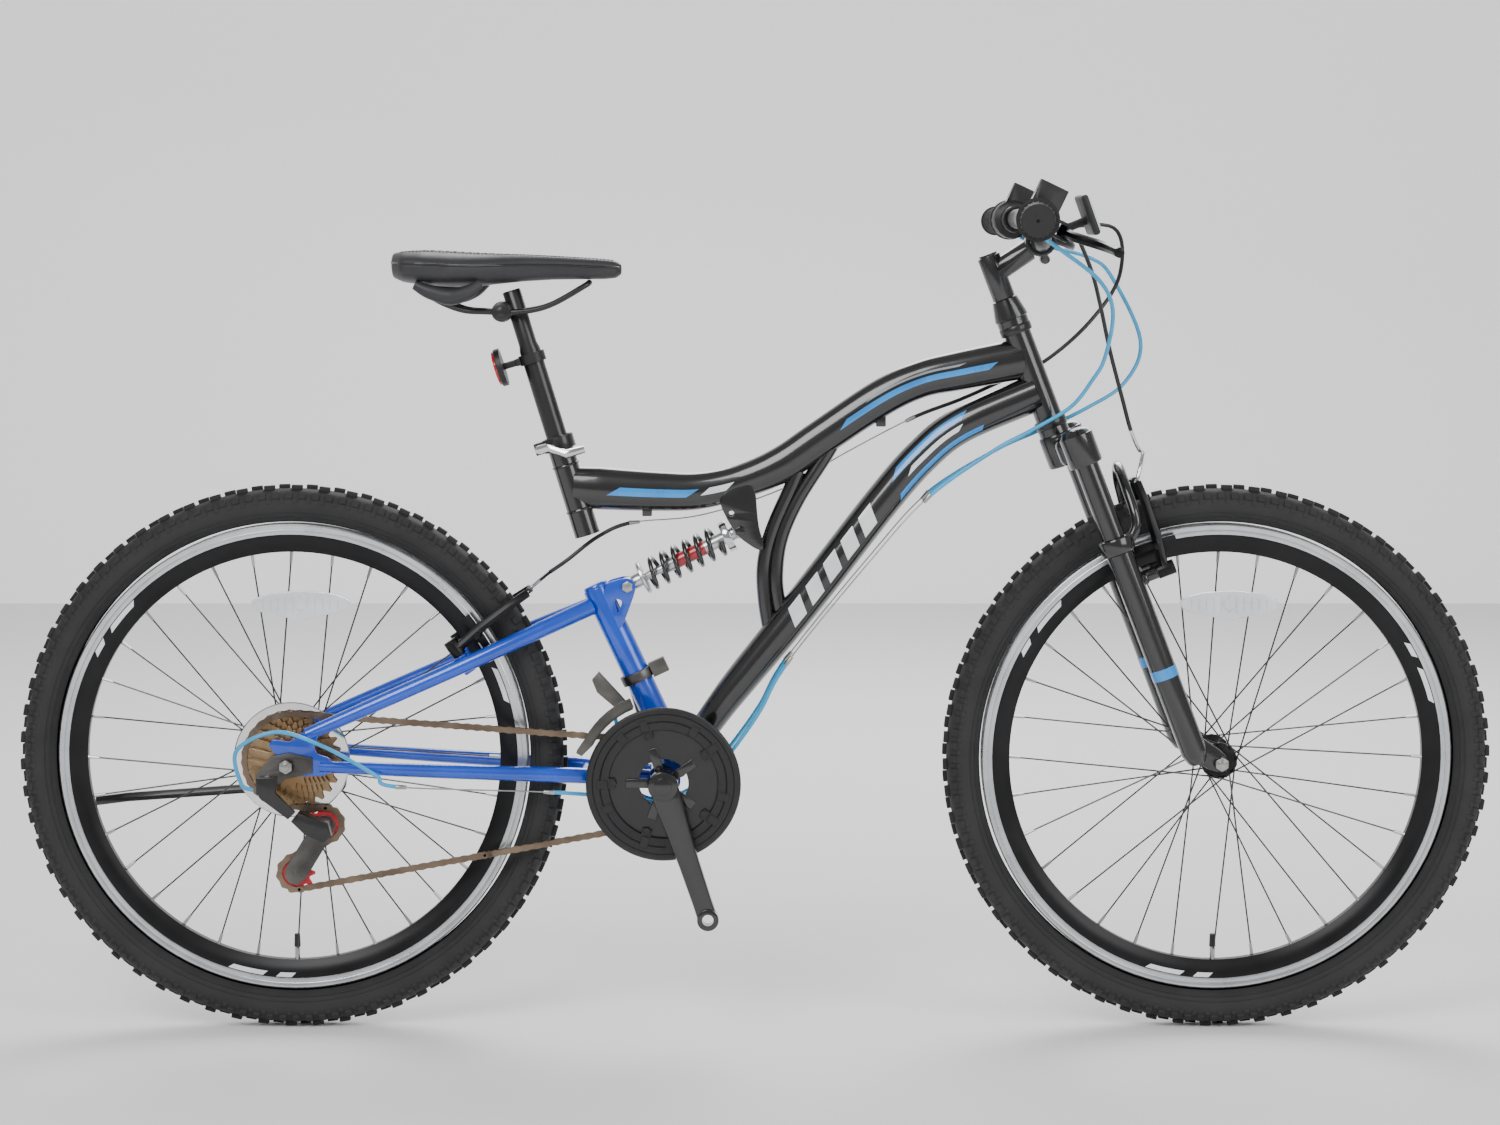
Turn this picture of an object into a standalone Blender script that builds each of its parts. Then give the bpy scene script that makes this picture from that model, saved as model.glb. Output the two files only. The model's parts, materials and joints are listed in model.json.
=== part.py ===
"""Full-suspension mountain bike. Front towards +X, drive side towards -Y, tyres standing on z = 0.

Metres. The origin is on the ground, midway between the two wheels and in the bike's middle plane.
"""

import math

import bmesh
import bpy
from mathutils import Matrix, Vector

# ---- driving dimensions ------------------------------------------------------------------------
WHEELBASE = 1.118
WHEEL_R = 0.332
RIM_TOP, TRACK_LOW, RIM_LOW, RIM_HALF = 0.2845, 0.262, 0.250, 0.0125
TYRE_HALF = 0.026
SPOKES_A_SIDE, SPOKE_CROSS, SPOKE_R = 16, 3, 0.0011
WHEEL_STEPS = 24
HEAD_ANGLE = math.radians(21.0)     # steering axis, measured from the vertical
AXLE_DROP, FORK_RAKE = 0.4478, 0.0445
HEAD_TUBE_LEN, HEAD_TUBE_R = 0.128, 0.0165
LEG_Y, LEG_F = 0.065, 0.0180        # fork legs: half spacing, and how far ahead of the steering axis
UPPER_R, LOWER_R = 0.0143, 0.0160
SEAT_ANGLE = math.radians(17.0)
SEAT_TUBE_LEN, SEAT_TUBE_R, POST_R = 0.125, 0.0155, 0.0127
CRANK_LEN, CRANK_ANGLE = 0.170, math.radians(18.3)
PITCH = 0.0127                      # half-inch chain
CHAIN_HALF_INSIDE, CHAIN_PLATE, CHAIN_HALF_TALL = 0.0024, 0.0009, 0.0039
SPROCKETS = (28, 24, 22, 20, 18, 16, 14)
SPROCKET_Y, SPROCKET_STEP = -0.031, 0.005
CHAINRINGS = ((24, -0.0425), (34, -0.0500), (42, -0.0575))
PULLEY_TEETH = 10
PLATE_GAP = 0.0003                  # left between pieces that touch
SLIVER = 0.0000015                   # edges shorter than this are closed up after a Boolean

REAR_AXLE = Vector((-WHEELBASE / 2, 0, WHEEL_R))
FRONT_AXLE = Vector((WHEELBASE / 2, 0, WHEEL_R))
STEER_UP = Vector((-math.sin(HEAD_ANGLE), 0, math.cos(HEAD_ANGLE)))
STEER_AHEAD = Vector((math.cos(HEAD_ANGLE), 0, math.sin(HEAD_ANGLE)))
STEER_FOOT = FRONT_AXLE + AXLE_DROP * STEER_UP - FORK_RAKE * STEER_AHEAD
SEAT_UP = Vector((-math.sin(SEAT_ANGLE), 0, math.cos(SEAT_ANGLE)))
SEAT_AHEAD = Vector((math.cos(SEAT_ANGLE), 0, math.sin(SEAT_ANGLE)))
SEAT_FOOT = Vector((-0.2021, 0, 0.6023))
BB = Vector((-0.1098, 0, 0.3080))
PIVOT = Vector((-0.0697, 0, 0.3541))
SHOCK_FRONT = Vector((-0.0180, 0, 0.6078))
SHOCK_REAR = Vector((-0.1536, 0, 0.5408))
UPRIGHT_TOP = Vector((-0.1921, 0, 0.5384))
UPRIGHT_FOOT = Vector((-0.0990, 0, 0.3380))
BRAKE_REACH, PAD_REACH = 0.242, 0.2722   # wheel axle to brake boss, and to the middle of the pad
BOSS_Y, BOSS_R = 0.0405, 0.005
GUIDE_PULLEY = REAR_AXLE + Vector((0.0401, 0, -0.0783))
TENSION_PULLEY = REAR_AXLE + Vector((0.0039, 0, -0.1375))
Y_AXIS = Vector((0, 1, 0))


def steer(ahead, y, up):
    """A point given ahead of, across and up the steering axis, from the foot of the head tube."""
    return STEER_FOOT + ahead * STEER_AHEAD + y * Y_AXIS + up * STEER_UP


def seat(ahead, y, up):
    """A point given ahead of, across and up the seat tube, from its foot."""
    return SEAT_FOOT + ahead * SEAT_AHEAD + y * Y_AXIS + up * SEAT_UP


def pitch_radius(teeth):
    return PITCH / 2 / math.sin(math.pi / teeth)


# ---- scene and materials -----------------------------------------------------------------------
for old in list(bpy.data.objects):
    bpy.data.objects.remove(old, do_unlink=True)
BIKE = bpy.data.collections.new("mountain_bike")
bpy.context.scene.collection.children.link(BIKE)


def material(name, colour, roughness, metallic=0.0):
    made = bpy.data.materials.new(name)
    made.use_nodes = True
    shader = made.node_tree.nodes["Principled BSDF"]
    shader.inputs["Base Color"].default_value = (*colour, 1)
    shader.inputs["Roughness"].default_value = roughness
    shader.inputs["Metallic"].default_value = metallic
    made.diffuse_color = (*colour, 1)
    return made


BLACK_PAINT = material("black_paint", (0.012, 0.012, 0.014), 0.25)
BLUE_PAINT = material("blue_paint", (0.01, 0.09, 0.62), 0.22)
RUBBER = material("tyre_rubber", (0.02, 0.02, 0.02), 0.75)
GRIP_RUBBER = material("grip_rubber", (0.03, 0.03, 0.03), 0.7)
PLASTIC = material("black_plastic", (0.018, 0.018, 0.02), 0.45)
RED_PLASTIC = material("red_plastic", (0.65, 0.01, 0.02), 0.35)
CLEAR_PLASTIC = material("reflector_plastic", (0.85, 0.85, 0.87), 0.2)
STEEL = material("zinc_steel", (0.55, 0.54, 0.52), 0.35, 1.0)
BRONZE = material("chain_steel", (0.32, 0.25, 0.19), 0.4, 1.0)
ALLOY = material("rim_alloy", (0.75, 0.75, 0.76), 0.3, 1.0)
BLACK_STEEL = material("black_steel", (0.03, 0.03, 0.032), 0.35, 0.6)
CLAW_STEEL = material("dark_zinc", (0.22, 0.21, 0.20), 0.4, 1.0)
VINYL = material("saddle_vinyl", (0.03, 0.03, 0.032), 0.5)
CABLE_BLACK = material("cable_black", (0.015, 0.015, 0.015), 0.4)
CABLE_BLUE = material("cable_blue", (0.02, 0.42, 0.75), 0.35)


# ---- modelling helpers -------------------------------------------------------------------------
def scratch(name, data):
    made = bpy.data.objects.new(name, data)
    BIKE.objects.link(made)
    return made


def from_bmesh(build):
    mesh = bpy.data.meshes.new("scratch")
    build.normal_update()
    build.to_mesh(mesh)
    build.free()
    return scratch("scratch", mesh)


def baked(obj):
    """A plain closed mesh object of what obj evaluates to. obj is removed."""
    bpy.context.view_layer.update()
    graph = bpy.context.evaluated_depsgraph_get()
    mesh = bpy.data.meshes.new_from_object(obj.evaluated_get(graph))
    mesh.transform(obj.matrix_world)
    bpy.data.objects.remove(obj, do_unlink=True)
    build = bmesh.new()
    build.from_mesh(mesh)
    bmesh.ops.remove_doubles(build, verts=build.verts, dist=1e-6)
    bmesh.ops.recalc_face_normals(build, faces=build.faces)
    build.to_mesh(mesh)
    build.free()
    return scratch("scratch", mesh)


def rod(start, end, radius, sides=10, end_radius=None):
    start, end = Vector(start), Vector(end)
    place = Matrix.Translation((start + end) / 2) @ (end - start).to_track_quat("Z", "Y").to_matrix().to_4x4()
    build = bmesh.new()
    bmesh.ops.create_cone(
        build, cap_ends=True, segments=sides, radius1=radius,
        radius2=radius if end_radius is None else end_radius, depth=(end - start).length, matrix=place,
    )
    return from_bmesh(build)


def cross_rod(centre, y_from, y_to, radius, sides=12, end_radius=None):
    """A rod along Y."""
    return rod((centre[0], y_from, centre[2]), (centre[0], y_to, centre[2]), radius, sides, end_radius)


def block(centre, size, turn=None):
    """A box. turn gives its own X, Y and Z directions as a 3x3 matrix."""
    place = Matrix.Translation(Vector(centre)) @ (turn or Matrix.Identity(3)).to_4x4()
    build = bmesh.new()
    bmesh.ops.create_cube(build, size=1, matrix=place @ Matrix.Diagonal((*size, 1)))
    return from_bmesh(build)


def axes(x, z):
    """Directions for block: its X along x, its Z as near to z as it can be."""
    x = Vector(x).normalized()
    y = Vector(z).cross(x).normalized()
    return Matrix((x, y, x.cross(y))).transposed()


def smooth(points, steps=4):
    """A Catmull-Rom curve through the points, as a list of closer points."""
    points = [Vector(p) for p in points]
    ends = [2 * points[0] - points[1], *points, 2 * points[-1] - points[-2]]
    found = []
    for a, b, c, d in zip(ends, ends[1:], ends[2:], ends[3:]):
        for k in range(steps):
            t = k / steps
            found.append(0.5 * (2 * b + (c - a) * t + (2 * a - 5 * b + 4 * c - d) * t * t
                                + (3 * b - a - 3 * c + d) * t ** 3))
    return [*found, points[-1]]


def tube(points, radius, sides=12, radii=None, flatten=1.0):
    """A round tube through the points. radii are shares of radius at the points; flatten scales it across Y."""
    curve = bpy.data.curves.new("scratch", "CURVE")
    curve.dimensions = "3D"
    curve.bevel_depth = radius
    curve.bevel_resolution = (sides - 4) // 2
    curve.use_fill_caps = True
    spline = curve.splines.new("POLY")
    spline.points.add(len(points) - 1)
    for k, point in enumerate(points):
        spline.points[k].co = (*Vector(point), 1)
        if radii:
            spline.points[k].radius = radii[k]
    made = baked(scratch("scratch", curve))
    if flatten != 1.0:
        made.data.transform(Matrix.Diagonal((1, flatten, 1, 1)))
    return made


def plate(outline, y_from, y_to, holes=()):
    """A flat plate in the XZ plane between two Y values. outline and holes are lists of (x, z)."""
    curve = bpy.data.curves.new("scratch", "CURVE")
    curve.dimensions = "2D"
    curve.fill_mode = "BOTH"
    curve.extrude = abs(y_to - y_from) / 2
    for loop in (outline, *holes):
        spline = curve.splines.new("POLY")
        spline.points.add(len(loop) - 1)
        for k, (x, z) in enumerate(loop):
            spline.points[k].co = (x, z, 0, 1)
        spline.use_cyclic_u = True
    flat = scratch("scratch", curve)
    flat.matrix_world = Matrix.Translation((0, (y_from + y_to) / 2, 0)) @ Matrix.Rotation(math.pi / 2, 4, "X")
    return baked(flat)


def ring_points(centre, radius, count, start=0.0, sweep=math.tau):
    """(x, z) points round a centre. A full circle leaves out the last point, which is the first again."""
    last = count if sweep == math.tau else count - 1
    return [(centre[0] + radius * math.cos(start + sweep * k / last),
             centre[2] + radius * math.sin(start + sweep * k / last)) for k in range(count)]


def turned(profile, centre, axis=Y_AXIS, steps=32, thickness=0.0, start=0.0):
    """profile, a list of (radius, along) running down the outer side, turned about an axis through centre.

    A profile with thickness is an open shell; without it, it closes on itself as a ring.
    """
    mesh = bpy.data.meshes.new("scratch")
    count = len(profile)
    edges = [(k, k + 1) for k in range(count - 1)]
    if not thickness:
        edges.append((count - 1, 0))
    mesh.from_pydata([(r, 0, along) for r, along in profile], edges, [])
    shape = scratch("scratch", mesh)
    screw = shape.modifiers.new("turn", "SCREW")
    screw.axis = "Z"
    screw.steps = screw.render_steps = steps
    screw.use_merge_vertices = True
    screw.merge_threshold = 0.00005
    if thickness:
        wall = shape.modifiers.new("wall", "SOLIDIFY")
        wall.thickness = thickness
        wall.offset = -1
    turn = Vector(axis).to_track_quat("Z", "X").to_matrix().to_4x4()
    shape.matrix_world = Matrix.Translation(Vector(centre)) @ turn @ Matrix.Rotation(start, 4, "Z")
    return baked(shape)


def joined(solids, cuts=()):
    """One body: the first solid with the others united to it, then the cuts taken away."""
    base = solids[0]
    for operation, others in (("UNION", solids[1:]), ("DIFFERENCE", cuts)):
        for other in others:
            step = base.modifiers.new(operation, "BOOLEAN")
            step.operation = operation
            step.object = other
            step.solver = "EXACT"
    if not base.modifiers:
        return base
    bpy.context.view_layer.update()
    graph = bpy.context.evaluated_depsgraph_get()
    mesh = bpy.data.meshes.new_from_object(base.evaluated_get(graph))
    for used in (*solids, *cuts):
        bpy.data.objects.remove(used, do_unlink=True)
    build = bmesh.new()
    build.from_mesh(mesh)
    bmesh.ops.remove_doubles(build, verts=build.verts, dist=SLIVER)
    bmesh.ops.dissolve_degenerate(build, edges=build.edges, dist=SLIVER)
    bmesh.ops.triangulate(build, faces=build.faces)
    build.to_mesh(mesh)
    build.free()
    return scratch("scratch", mesh)


def node(name, finish, solids, cuts=(), on=None):
    """Names the finished piece, gives it its material and hangs it on its joint's empty."""
    made = joined(solids, cuts)
    made.name = made.data.name = name
    made.data.materials.clear()
    made.data.materials.append(finish)
    made.data.shade_smooth()
    made.data.set_sharp_from_angle(angle=math.radians(35))
    if on is not None:
        made.parent = on
        made.matrix_parent_inverse = Matrix.Translation(-on.location)
    return made


def joint_empty(name, place, parent=None):
    """An empty on a joint's axis; the pieces that move there are its children."""
    made = bpy.data.objects.new(name, None)
    made.empty_display_size = 0.03
    made.location = place
    BIKE.objects.link(made)
    if parent is not None:
        made.parent = parent
        made.matrix_parent_inverse = Matrix.Translation(-parent.location)
    return made


def gear_outline(teeth, centre, turn=0.0, depth=0.0032):
    """Two points a tooth: the tip, and the root between two tips. With no depth it's the plain pitch circle."""
    tip, root = pitch_radius(teeth) + depth, pitch_radius(teeth) - depth
    found = []
    for k in range(teeth):
        angle = turn + math.tau * k / teeth
        for radius, share in ((tip, 0.0), (root, 0.5)):
            around = angle + share * math.tau / teeth
            found.append((centre[0] + radius * math.cos(around), centre[2] + radius * math.sin(around)))
    return found


# ---- joint empties -----------------------------------------------------------------------------
SWING = joint_empty("joint_swingarm", PIVOT)
STEER = joint_empty("joint_steering", STEER_FOOT)
LOWERS = joint_empty("joint_fork_travel", steer(LEG_F, 0, -0.16), STEER)
FRONT_SPIN = joint_empty("joint_front_wheel", FRONT_AXLE, LOWERS)
REAR_SPIN = joint_empty("joint_rear_wheel", REAR_AXLE, SWING)
FREE_SPIN = joint_empty("joint_freewheel", REAR_AXLE, SWING)
CRANK_SPIN = joint_empty("joint_crank", BB, SWING)


# ---- wheels ------------------------------------------------------------------------------------
def wheel_spokes(centre, hub_radius, hub_y, rim_y, turn):
    """One flange's spokes: the leading half and the trailing half cross and touch, so they are one body."""
    halves = ([], [])
    for k in range(SPOKES_A_SIDE):
        side = 1 if k % 2 == 0 else -1
        rim_angle = turn + math.tau * k / SPOKES_A_SIDE
        hub_angle = rim_angle + side * SPOKE_CROSS * math.tau / SPOKES_A_SIDE
        at_flange = hub_y + side * 0.0003
        low = centre + Vector((hub_radius * math.cos(hub_angle), at_flange, hub_radius * math.sin(hub_angle)))
        reach = RIM_LOW * math.cos(math.pi / WHEEL_STEPS) - 0.0006
        high = centre + Vector((reach * math.cos(rim_angle), rim_y, reach * math.sin(rim_angle)))
        halves[k % 2].append(rod(low, high, SPOKE_R, 3))
    bodies = []
    for half in halves:
        build = bmesh.new()
        for spoke in half:
            build.from_mesh(spoke.data)
            bpy.data.objects.remove(spoke, do_unlink=True)
        bodies.append(from_bmesh(build))
    return bodies


def wheel(prefix, centre, spin, right_flange, left_flange, barrel, right_end, steps=WHEEL_STEPS):
    lowest = -math.pi / 2
    half = TYRE_HALF
    side = [(0.2870, 0.0098), (0.2965, 0.9 * half), (0.3120, half), (WHEEL_R, 0.35 * half)]
    profile = side + [(r, -y) for r, y in reversed(side)]
    node(f"{prefix}_tyre", RUBBER, [turned(profile, centre, steps=steps, thickness=0.003, start=lowest)], on=spin)
    side = [(RIM_TOP, RIM_HALF), (TRACK_LOW, RIM_HALF), (RIM_LOW, 0.006)]
    profile = side + [(r, -y) for r, y in reversed(side)]
    node(f"{prefix}_rim", ALLOY, [turned(profile[::-1], centre, steps=steps, thickness=0.0016)], on=spin)
    reflector_y = -0.0240
    for name, flange, out, turn in (("right", right_flange, -1, 0.0),
                                    ("left", left_flange, 1, math.tau / SPOKES_A_SIDE / 2)):
        solids = wheel_spokes(centre, 0.0200, flange + out * 0.0037, out * 0.004, turn)
        if name == "right":
            top = centre + Vector((0.012, 0, 0.188))
            outline = [(-0.050, 0.012), (0, 0.018), (0.050, 0.012), (0.044, -0.008), (0, -0.018), (-0.044, -0.008)]
            solids.append(plate([(top.x + x, top.z + z) for x, z in outline], reflector_y, reflector_y + 0.0160))
        node(f"{prefix}_spokes_{name}", BLACK_STEEL, solids, on=spin)
    flange_r, bore = 0.0225, 0.0056
    return [(bore, left_flange + 0.0035), (0.0155, left_flange + 0.0035), (0.0160, left_flange + 0.0020),
            (flange_r, left_flange + 0.0015), (flange_r, left_flange - 0.0015), (barrel, left_flange - 0.006),
            (barrel, right_flange + 0.006), (flange_r, right_flange + 0.0015), (flange_r, right_flange - 0.0015),
            (0.0160, right_flange - 0.0020), (0.0155, right_end), (bore, right_end)]


hub = wheel("front", FRONT_AXLE, FRONT_SPIN, -0.033, 0.033, 0.0140, -0.0365)
node("front_hub", BLACK_STEEL, [turned(hub, FRONT_AXLE, steps=14)], on=FRONT_SPIN)
hub = wheel("rear", REAR_AXLE, REAR_SPIN, -0.0205, 0.033, 0.0170, -0.0277)
disc = [(0.0700, -0.0264), (0.0700, -0.0275), (0.0100, -0.0275), (0.0100, -0.0264)]
protector = turned(disc, REAR_AXLE, steps=20)
node("rear_hub", BLACK_STEEL, [turned(hub, REAR_AXLE, steps=14), protector], on=REAR_SPIN)

# ---- freewheel, cranks and chainrings ----------------------------------------------------------
cogs = []
for k, teeth in enumerate(SPROCKETS):
    y = SPROCKET_Y - SPROCKET_STEP * k
    outline = gear_outline(teeth, REAR_AXLE) if k == 0 else ring_points(REAR_AXLE, pitch_radius(teeth), 11)
    cogs.append(plate(outline, y - 0.0009, y + 0.0009))
core = cross_rod(REAR_AXLE, SPROCKET_Y + 0.0028, SPROCKET_Y - 6 * SPROCKET_STEP - 0.0012, 0.0240, 11)
axle_hole = cross_rod(REAR_AXLE, 0.05, -0.10, 0.0062, 8)
node("freewheel", BRONZE, [core, *cogs], [axle_hole], on=FREE_SPIN)

rings = []
for teeth, y in CHAINRINGS:
    outline = gear_outline(teeth, BB) if teeth == CHAINRINGS[0][0] else ring_points(BB, pitch_radius(teeth), 16)
    rings.append(plate(outline, y - 0.0009, y + 0.0009, [ring_points(BB, 0.030, 12)]))
posts = []
for k in range(5):
    angle = math.tau * k / 5 + math.radians(35)
    place = BB + 0.038 * Vector((math.cos(angle), 0, math.sin(angle)))
    posts.append(cross_rod(place, CHAINRINGS[0][1], CHAINRINGS[2][1], 0.0053, 6))
node("chainrings", BLACK_STEEL, rings + posts, on=CRANK_SPIN)
guard = [(0.0925, -0.0606), (0.0925, -0.0622), (0.0900, -0.0642), (0.0660, -0.0630), (0.0660, -0.0606)]
node("chain_guard", PLASTIC, [turned(guard, BB, steps=24)], on=CRANK_SPIN)


def crank_arm(side, inner, outer):
    """An arm from the spindle to the pedal eye. side is -1 on the drive side, whose arm points down."""
    along = Vector((math.sin(CRANK_ANGLE), 0, -math.cos(CRANK_ANGLE))) * (1 if side < 0 else -1)
    across = along.cross(Y_AXIS)
    eye = BB + CRANK_LEN * along
    outline = []
    for station, half in ((0.000, 0.0175), (0.06, 0.0145), (0.13, 0.0118), (CRANK_LEN, 0.0125)):
        outline.append((station, half))
    rail = [BB + s * along + h * across for s, h in outline]
    rail += [BB + s * along - h * across for s, h in reversed(outline)]
    arm = plate([(p.x, p.z) for p in rail], side * inner, side * (inner + 0.0135))
    boss = cross_rod(BB, side * (inner - 0.004), side * (inner + 0.0150), 0.0180, 16)
    tip = cross_rod(eye, side * inner, side * outer, 0.0130, 16)
    hole = cross_rod(eye, side * (inner - 0.01), side * (outer + 0.01), 0.0068, 16)
    return [arm, boss, tip], [hole]


solids, cuts = crank_arm(-1, 0.0665, 0.0830)
star = []
for k in range(5):
    angle = math.tau * k / 5 + math.radians(35)
    star += [(BB.x + r * math.cos(angle + a), BB.z + r * math.sin(angle + a))
             for r, a in ((0.044, -0.12), (0.044, 0.12), (0.0155, math.pi / 5))]
spider_y = CHAINRINGS[2][1] - 0.0012
solids += [plate(star, spider_y, spider_y - 0.0018), cross_rod(BB, spider_y, -0.070, 0.0180, 16)]
cuts.append(cross_rod(BB, -0.05, -0.0645, 0.0090, 12))
node("crank_right", BLACK_PAINT, solids, cuts, on=CRANK_SPIN)
solids, cuts = crank_arm(1, 0.0620, 0.0785)
spindle = cross_rod(BB, -0.0622, 0.0640, 0.0085, 12)
node("crank_left", BLACK_PAINT, [*solids, spindle], cuts, on=CRANK_SPIN)

# ---- swingarm ----------------------------------------------------------------------------------
shell = cross_rod(BB, -0.034, 0.034, 0.0200, 16)
upright = rod(UPRIGHT_TOP, UPRIGHT_FOOT, 0.0165, 14)
cap = rod(UPRIGHT_TOP + Vector((-0.0020, 0, 0.0043)), UPRIGHT_TOP + Vector((0.0010, 0, -0.0022)), 0.0140, 16, 0.0160)
swing_solids = [shell, upright, cap]
for side in (-1, 1):
    stay = [(-0.150, 0.019, 0.3110), (-0.190, 0.034, 0.3132), (-0.240, 0.0440, 0.3165), (-0.400, 0.0590, 0.3240),
            (-0.520, 0.0685, 0.3305)]
    stay = [(BB.x - 0.004, 0.017, 0.3090), *stay]
    shares = [1.0, 1.0, 1.0, 1.0, 0.85, 0.72]
    swing_solids.append(tube([(x, side * y, z) for x, y, z in stay], 0.0095, 8, shares))
    stay = [(-0.197, 0.008, 0.5160), (-0.260, 0.0300, 0.4890), (-0.330, 0.0480, 0.4585), (-0.440, 0.0610, 0.4105),
            (-0.535, 0.0685, 0.3690)]
    swing_solids.append(tube([(x, side * y, z) for x, y, z in stay], 0.0095, 8, [1.1, 1.05, 1.0, 0.95, 0.85]))
    outline = [(-0.505, 0.320), (-0.505, 0.340), (-0.527, 0.348), (-0.520, 0.372), (-0.532, 0.380),
               (-0.552, 0.360), (-0.575, 0.364), (-0.581, 0.356), (-0.571, 0.345), (-0.569, 0.327),
               (-0.556, 0.319)]
    hole = ring_points(REAR_AXLE, 0.0052, 12)
    y = side * 0.0690
    swing_solids.append(plate(outline, y - 0.0030, y + 0.0030, [hole]))
    # pivot lugs: plates from the bottom bracket shell round the frame's pivot tube
    lug = [(BB.x - 0.008, BB.z + 0.012), (BB.x + 0.016, BB.z - 0.004), (PIVOT.x + 0.014, PIVOT.z - 0.008),
           (PIVOT.x + 0.012, PIVOT.z + 0.011), (PIVOT.x - 0.004, PIVOT.z + 0.016), (BB.x + 0.004, BB.z + 0.046)]
    y = side * 0.0295
    swing_solids.append(plate(lug, y - 0.0025, y + 0.0025))
    # gusset that carries the shock's rear eye
    gusset = [(-0.1840, 0.5440), (-0.1560, 0.5520), (-0.1450, 0.5480), (-0.1430, 0.5370), (-0.1625, 0.4850),
              (-0.1760, 0.4950)]
    window = [(-0.1700, 0.5270), (-0.1590, 0.5240), (-0.1655, 0.5060)]
    y = side * 0.0140
    swing_solids.append(plate(gusset, y - 0.0015, y + 0.0015, [window]))
    # brake boss standing up from the seatstay
    arm_dir = Vector((math.cos(math.radians(34)), 0, math.sin(math.radians(34))))
    boss_dir = Vector((-arm_dir.z, 0, arm_dir.x))
    boss_at = REAR_AXLE + BRAKE_REACH * arm_dir + side * BOSS_Y * Y_AXIS
    swing_solids.append(rod(boss_at - 0.030 * boss_dir, boss_at + 0.010 * boss_dir, BOSS_R, 12))
    swing_solids.append(rod(boss_at - 0.032 * boss_dir, boss_at - 0.0085 * boss_dir, 0.0080, 12))
bridge = tube([(-0.2450, -0.025, 0.4960), (-0.2450, 0.025, 0.4960)], 0.006, 8)
low_bridge = tube([(-0.2060, -0.034, 0.3140), (-0.2060, 0.034, 0.3140)], 0.006, 8)
pivot_bolt = cross_rod(PIVOT, -0.035, 0.035, 0.0055, 12)
eye_bolt = cross_rod(SHOCK_REAR, -0.0190, 0.0190, 0.0040, 12)
swing_solids += [bridge, low_bridge, pivot_bolt, eye_bolt]
spindle_way = cross_rod(BB, -0.05, 0.05, 0.0173, 16)
node("swingarm", BLUE_PAINT, swing_solids, [spindle_way], on=SWING)
cartridge = [(0.0168, 0.0330), (0.0168, -0.0330), (0.0090, -0.0330), (0.0090, 0.0330)]
node("bottom_bracket", BLACK_STEEL, [turned(cartridge, BB, steps=14)], on=SWING)

# ---- axles -------------------------------------------------------------------------------------
def axle(name, centre, inner_right, inner_left, dropout, nut_out, on):
    """inner_right and inner_left are the hub's ends; dropout is the inner and outer Y of the frame's plates."""
    solids = [cross_rod(centre, -nut_out - 0.002, nut_out + 0.002, 0.0048, 12)]
    solids.append(cross_rod(centre, inner_left, dropout[0] - PLATE_GAP, 0.0080, 12))
    solids.append(cross_rod(centre, inner_right, PLATE_GAP - dropout[0], 0.0080, 12))
    for side in (-1, 1):
        solids.append(cross_rod(centre, side * (dropout[1] + PLATE_GAP), side * nut_out, 0.0085, 6))
    node(name, STEEL, solids, on=on)


axle("front_axle", FRONT_AXLE, -0.0370, 0.0370, (0.0500, 0.0550), 0.0640, LOWERS)
axle("rear_axle", REAR_AXLE, -0.0627, 0.0370, (0.0660, 0.0753), 0.0840, SWING)

# ---- main frame --------------------------------------------------------------------------------
HEAD_CUP_R, STEERER_BORE = 0.0195, 0.0130
head = rod(STEER_FOOT, STEER_FOOT + HEAD_TUBE_LEN * STEER_UP, HEAD_TUBE_R, 16)
cup_low = rod(STEER_FOOT - 0.001 * STEER_UP, STEER_FOOT + 0.009 * STEER_UP, HEAD_CUP_R, 16)
cup_high = rod(STEER_FOOT + 0.119 * STEER_UP, STEER_FOOT + (HEAD_TUBE_LEN + 0.001) * STEER_UP, HEAD_CUP_R, 16)
top_line = [(-0.2185, 0.6612, 0.048), (-0.1869, 0.6586, 0.052), (-0.1144, 0.6550, 0.048), (-0.0661, 0.6556, 0.0447),
            (-0.0178, 0.6664, 0.041), (0.0306, 0.6864, 0.044), (0.0789, 0.7190, 0.044), (0.1514, 0.7673, 0.045),
            (0.1997, 0.7897, 0.044), (0.2480, 0.8006, 0.047), (0.3220, 0.8150, 0.049)]
top = tube([(x, 0, z) for x, z, tall in top_line], 0.0250, 10, [tall / 0.050 for x, z, tall in top_line], 0.74)
down_line = [(-0.0697, 0.3541, 0.0170), (-0.0419, 0.3934, 0.0185), (-0.0178, 0.4248, 0.0200), (0.0306, 0.4846, 0.0215),
             (0.0789, 0.5460, 0.0220), (0.1514, 0.6405, 0.0220), (0.1997, 0.6965, 0.0220), (0.2480, 0.7348, 0.0220),
             (0.3380, 0.7740, 0.0225)]
down = tube([(x, 0, z) for x, z, r in down_line], 0.0220, 10, [r / 0.0220 for x, z, r in down_line])
frame_solids = [head, cup_low, cup_high, top, down]
for line in ([(0.052, 0.680), (0.0437, 0.6602), (0.0221, 0.6108), (0.0112, 0.5680), (0.0120, 0.5245), (0.0200, 0.4740)],
             [(0.092, 0.710), (0.0823, 0.6940), (0.0513, 0.6447), (0.0314, 0.5984), (0.0253, 0.5553),
              (0.0282, 0.5215), (0.0360, 0.4950)]):
    frame_solids.append(tube([(x, 0, z) for x, z in line], 0.009, 6))
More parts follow.
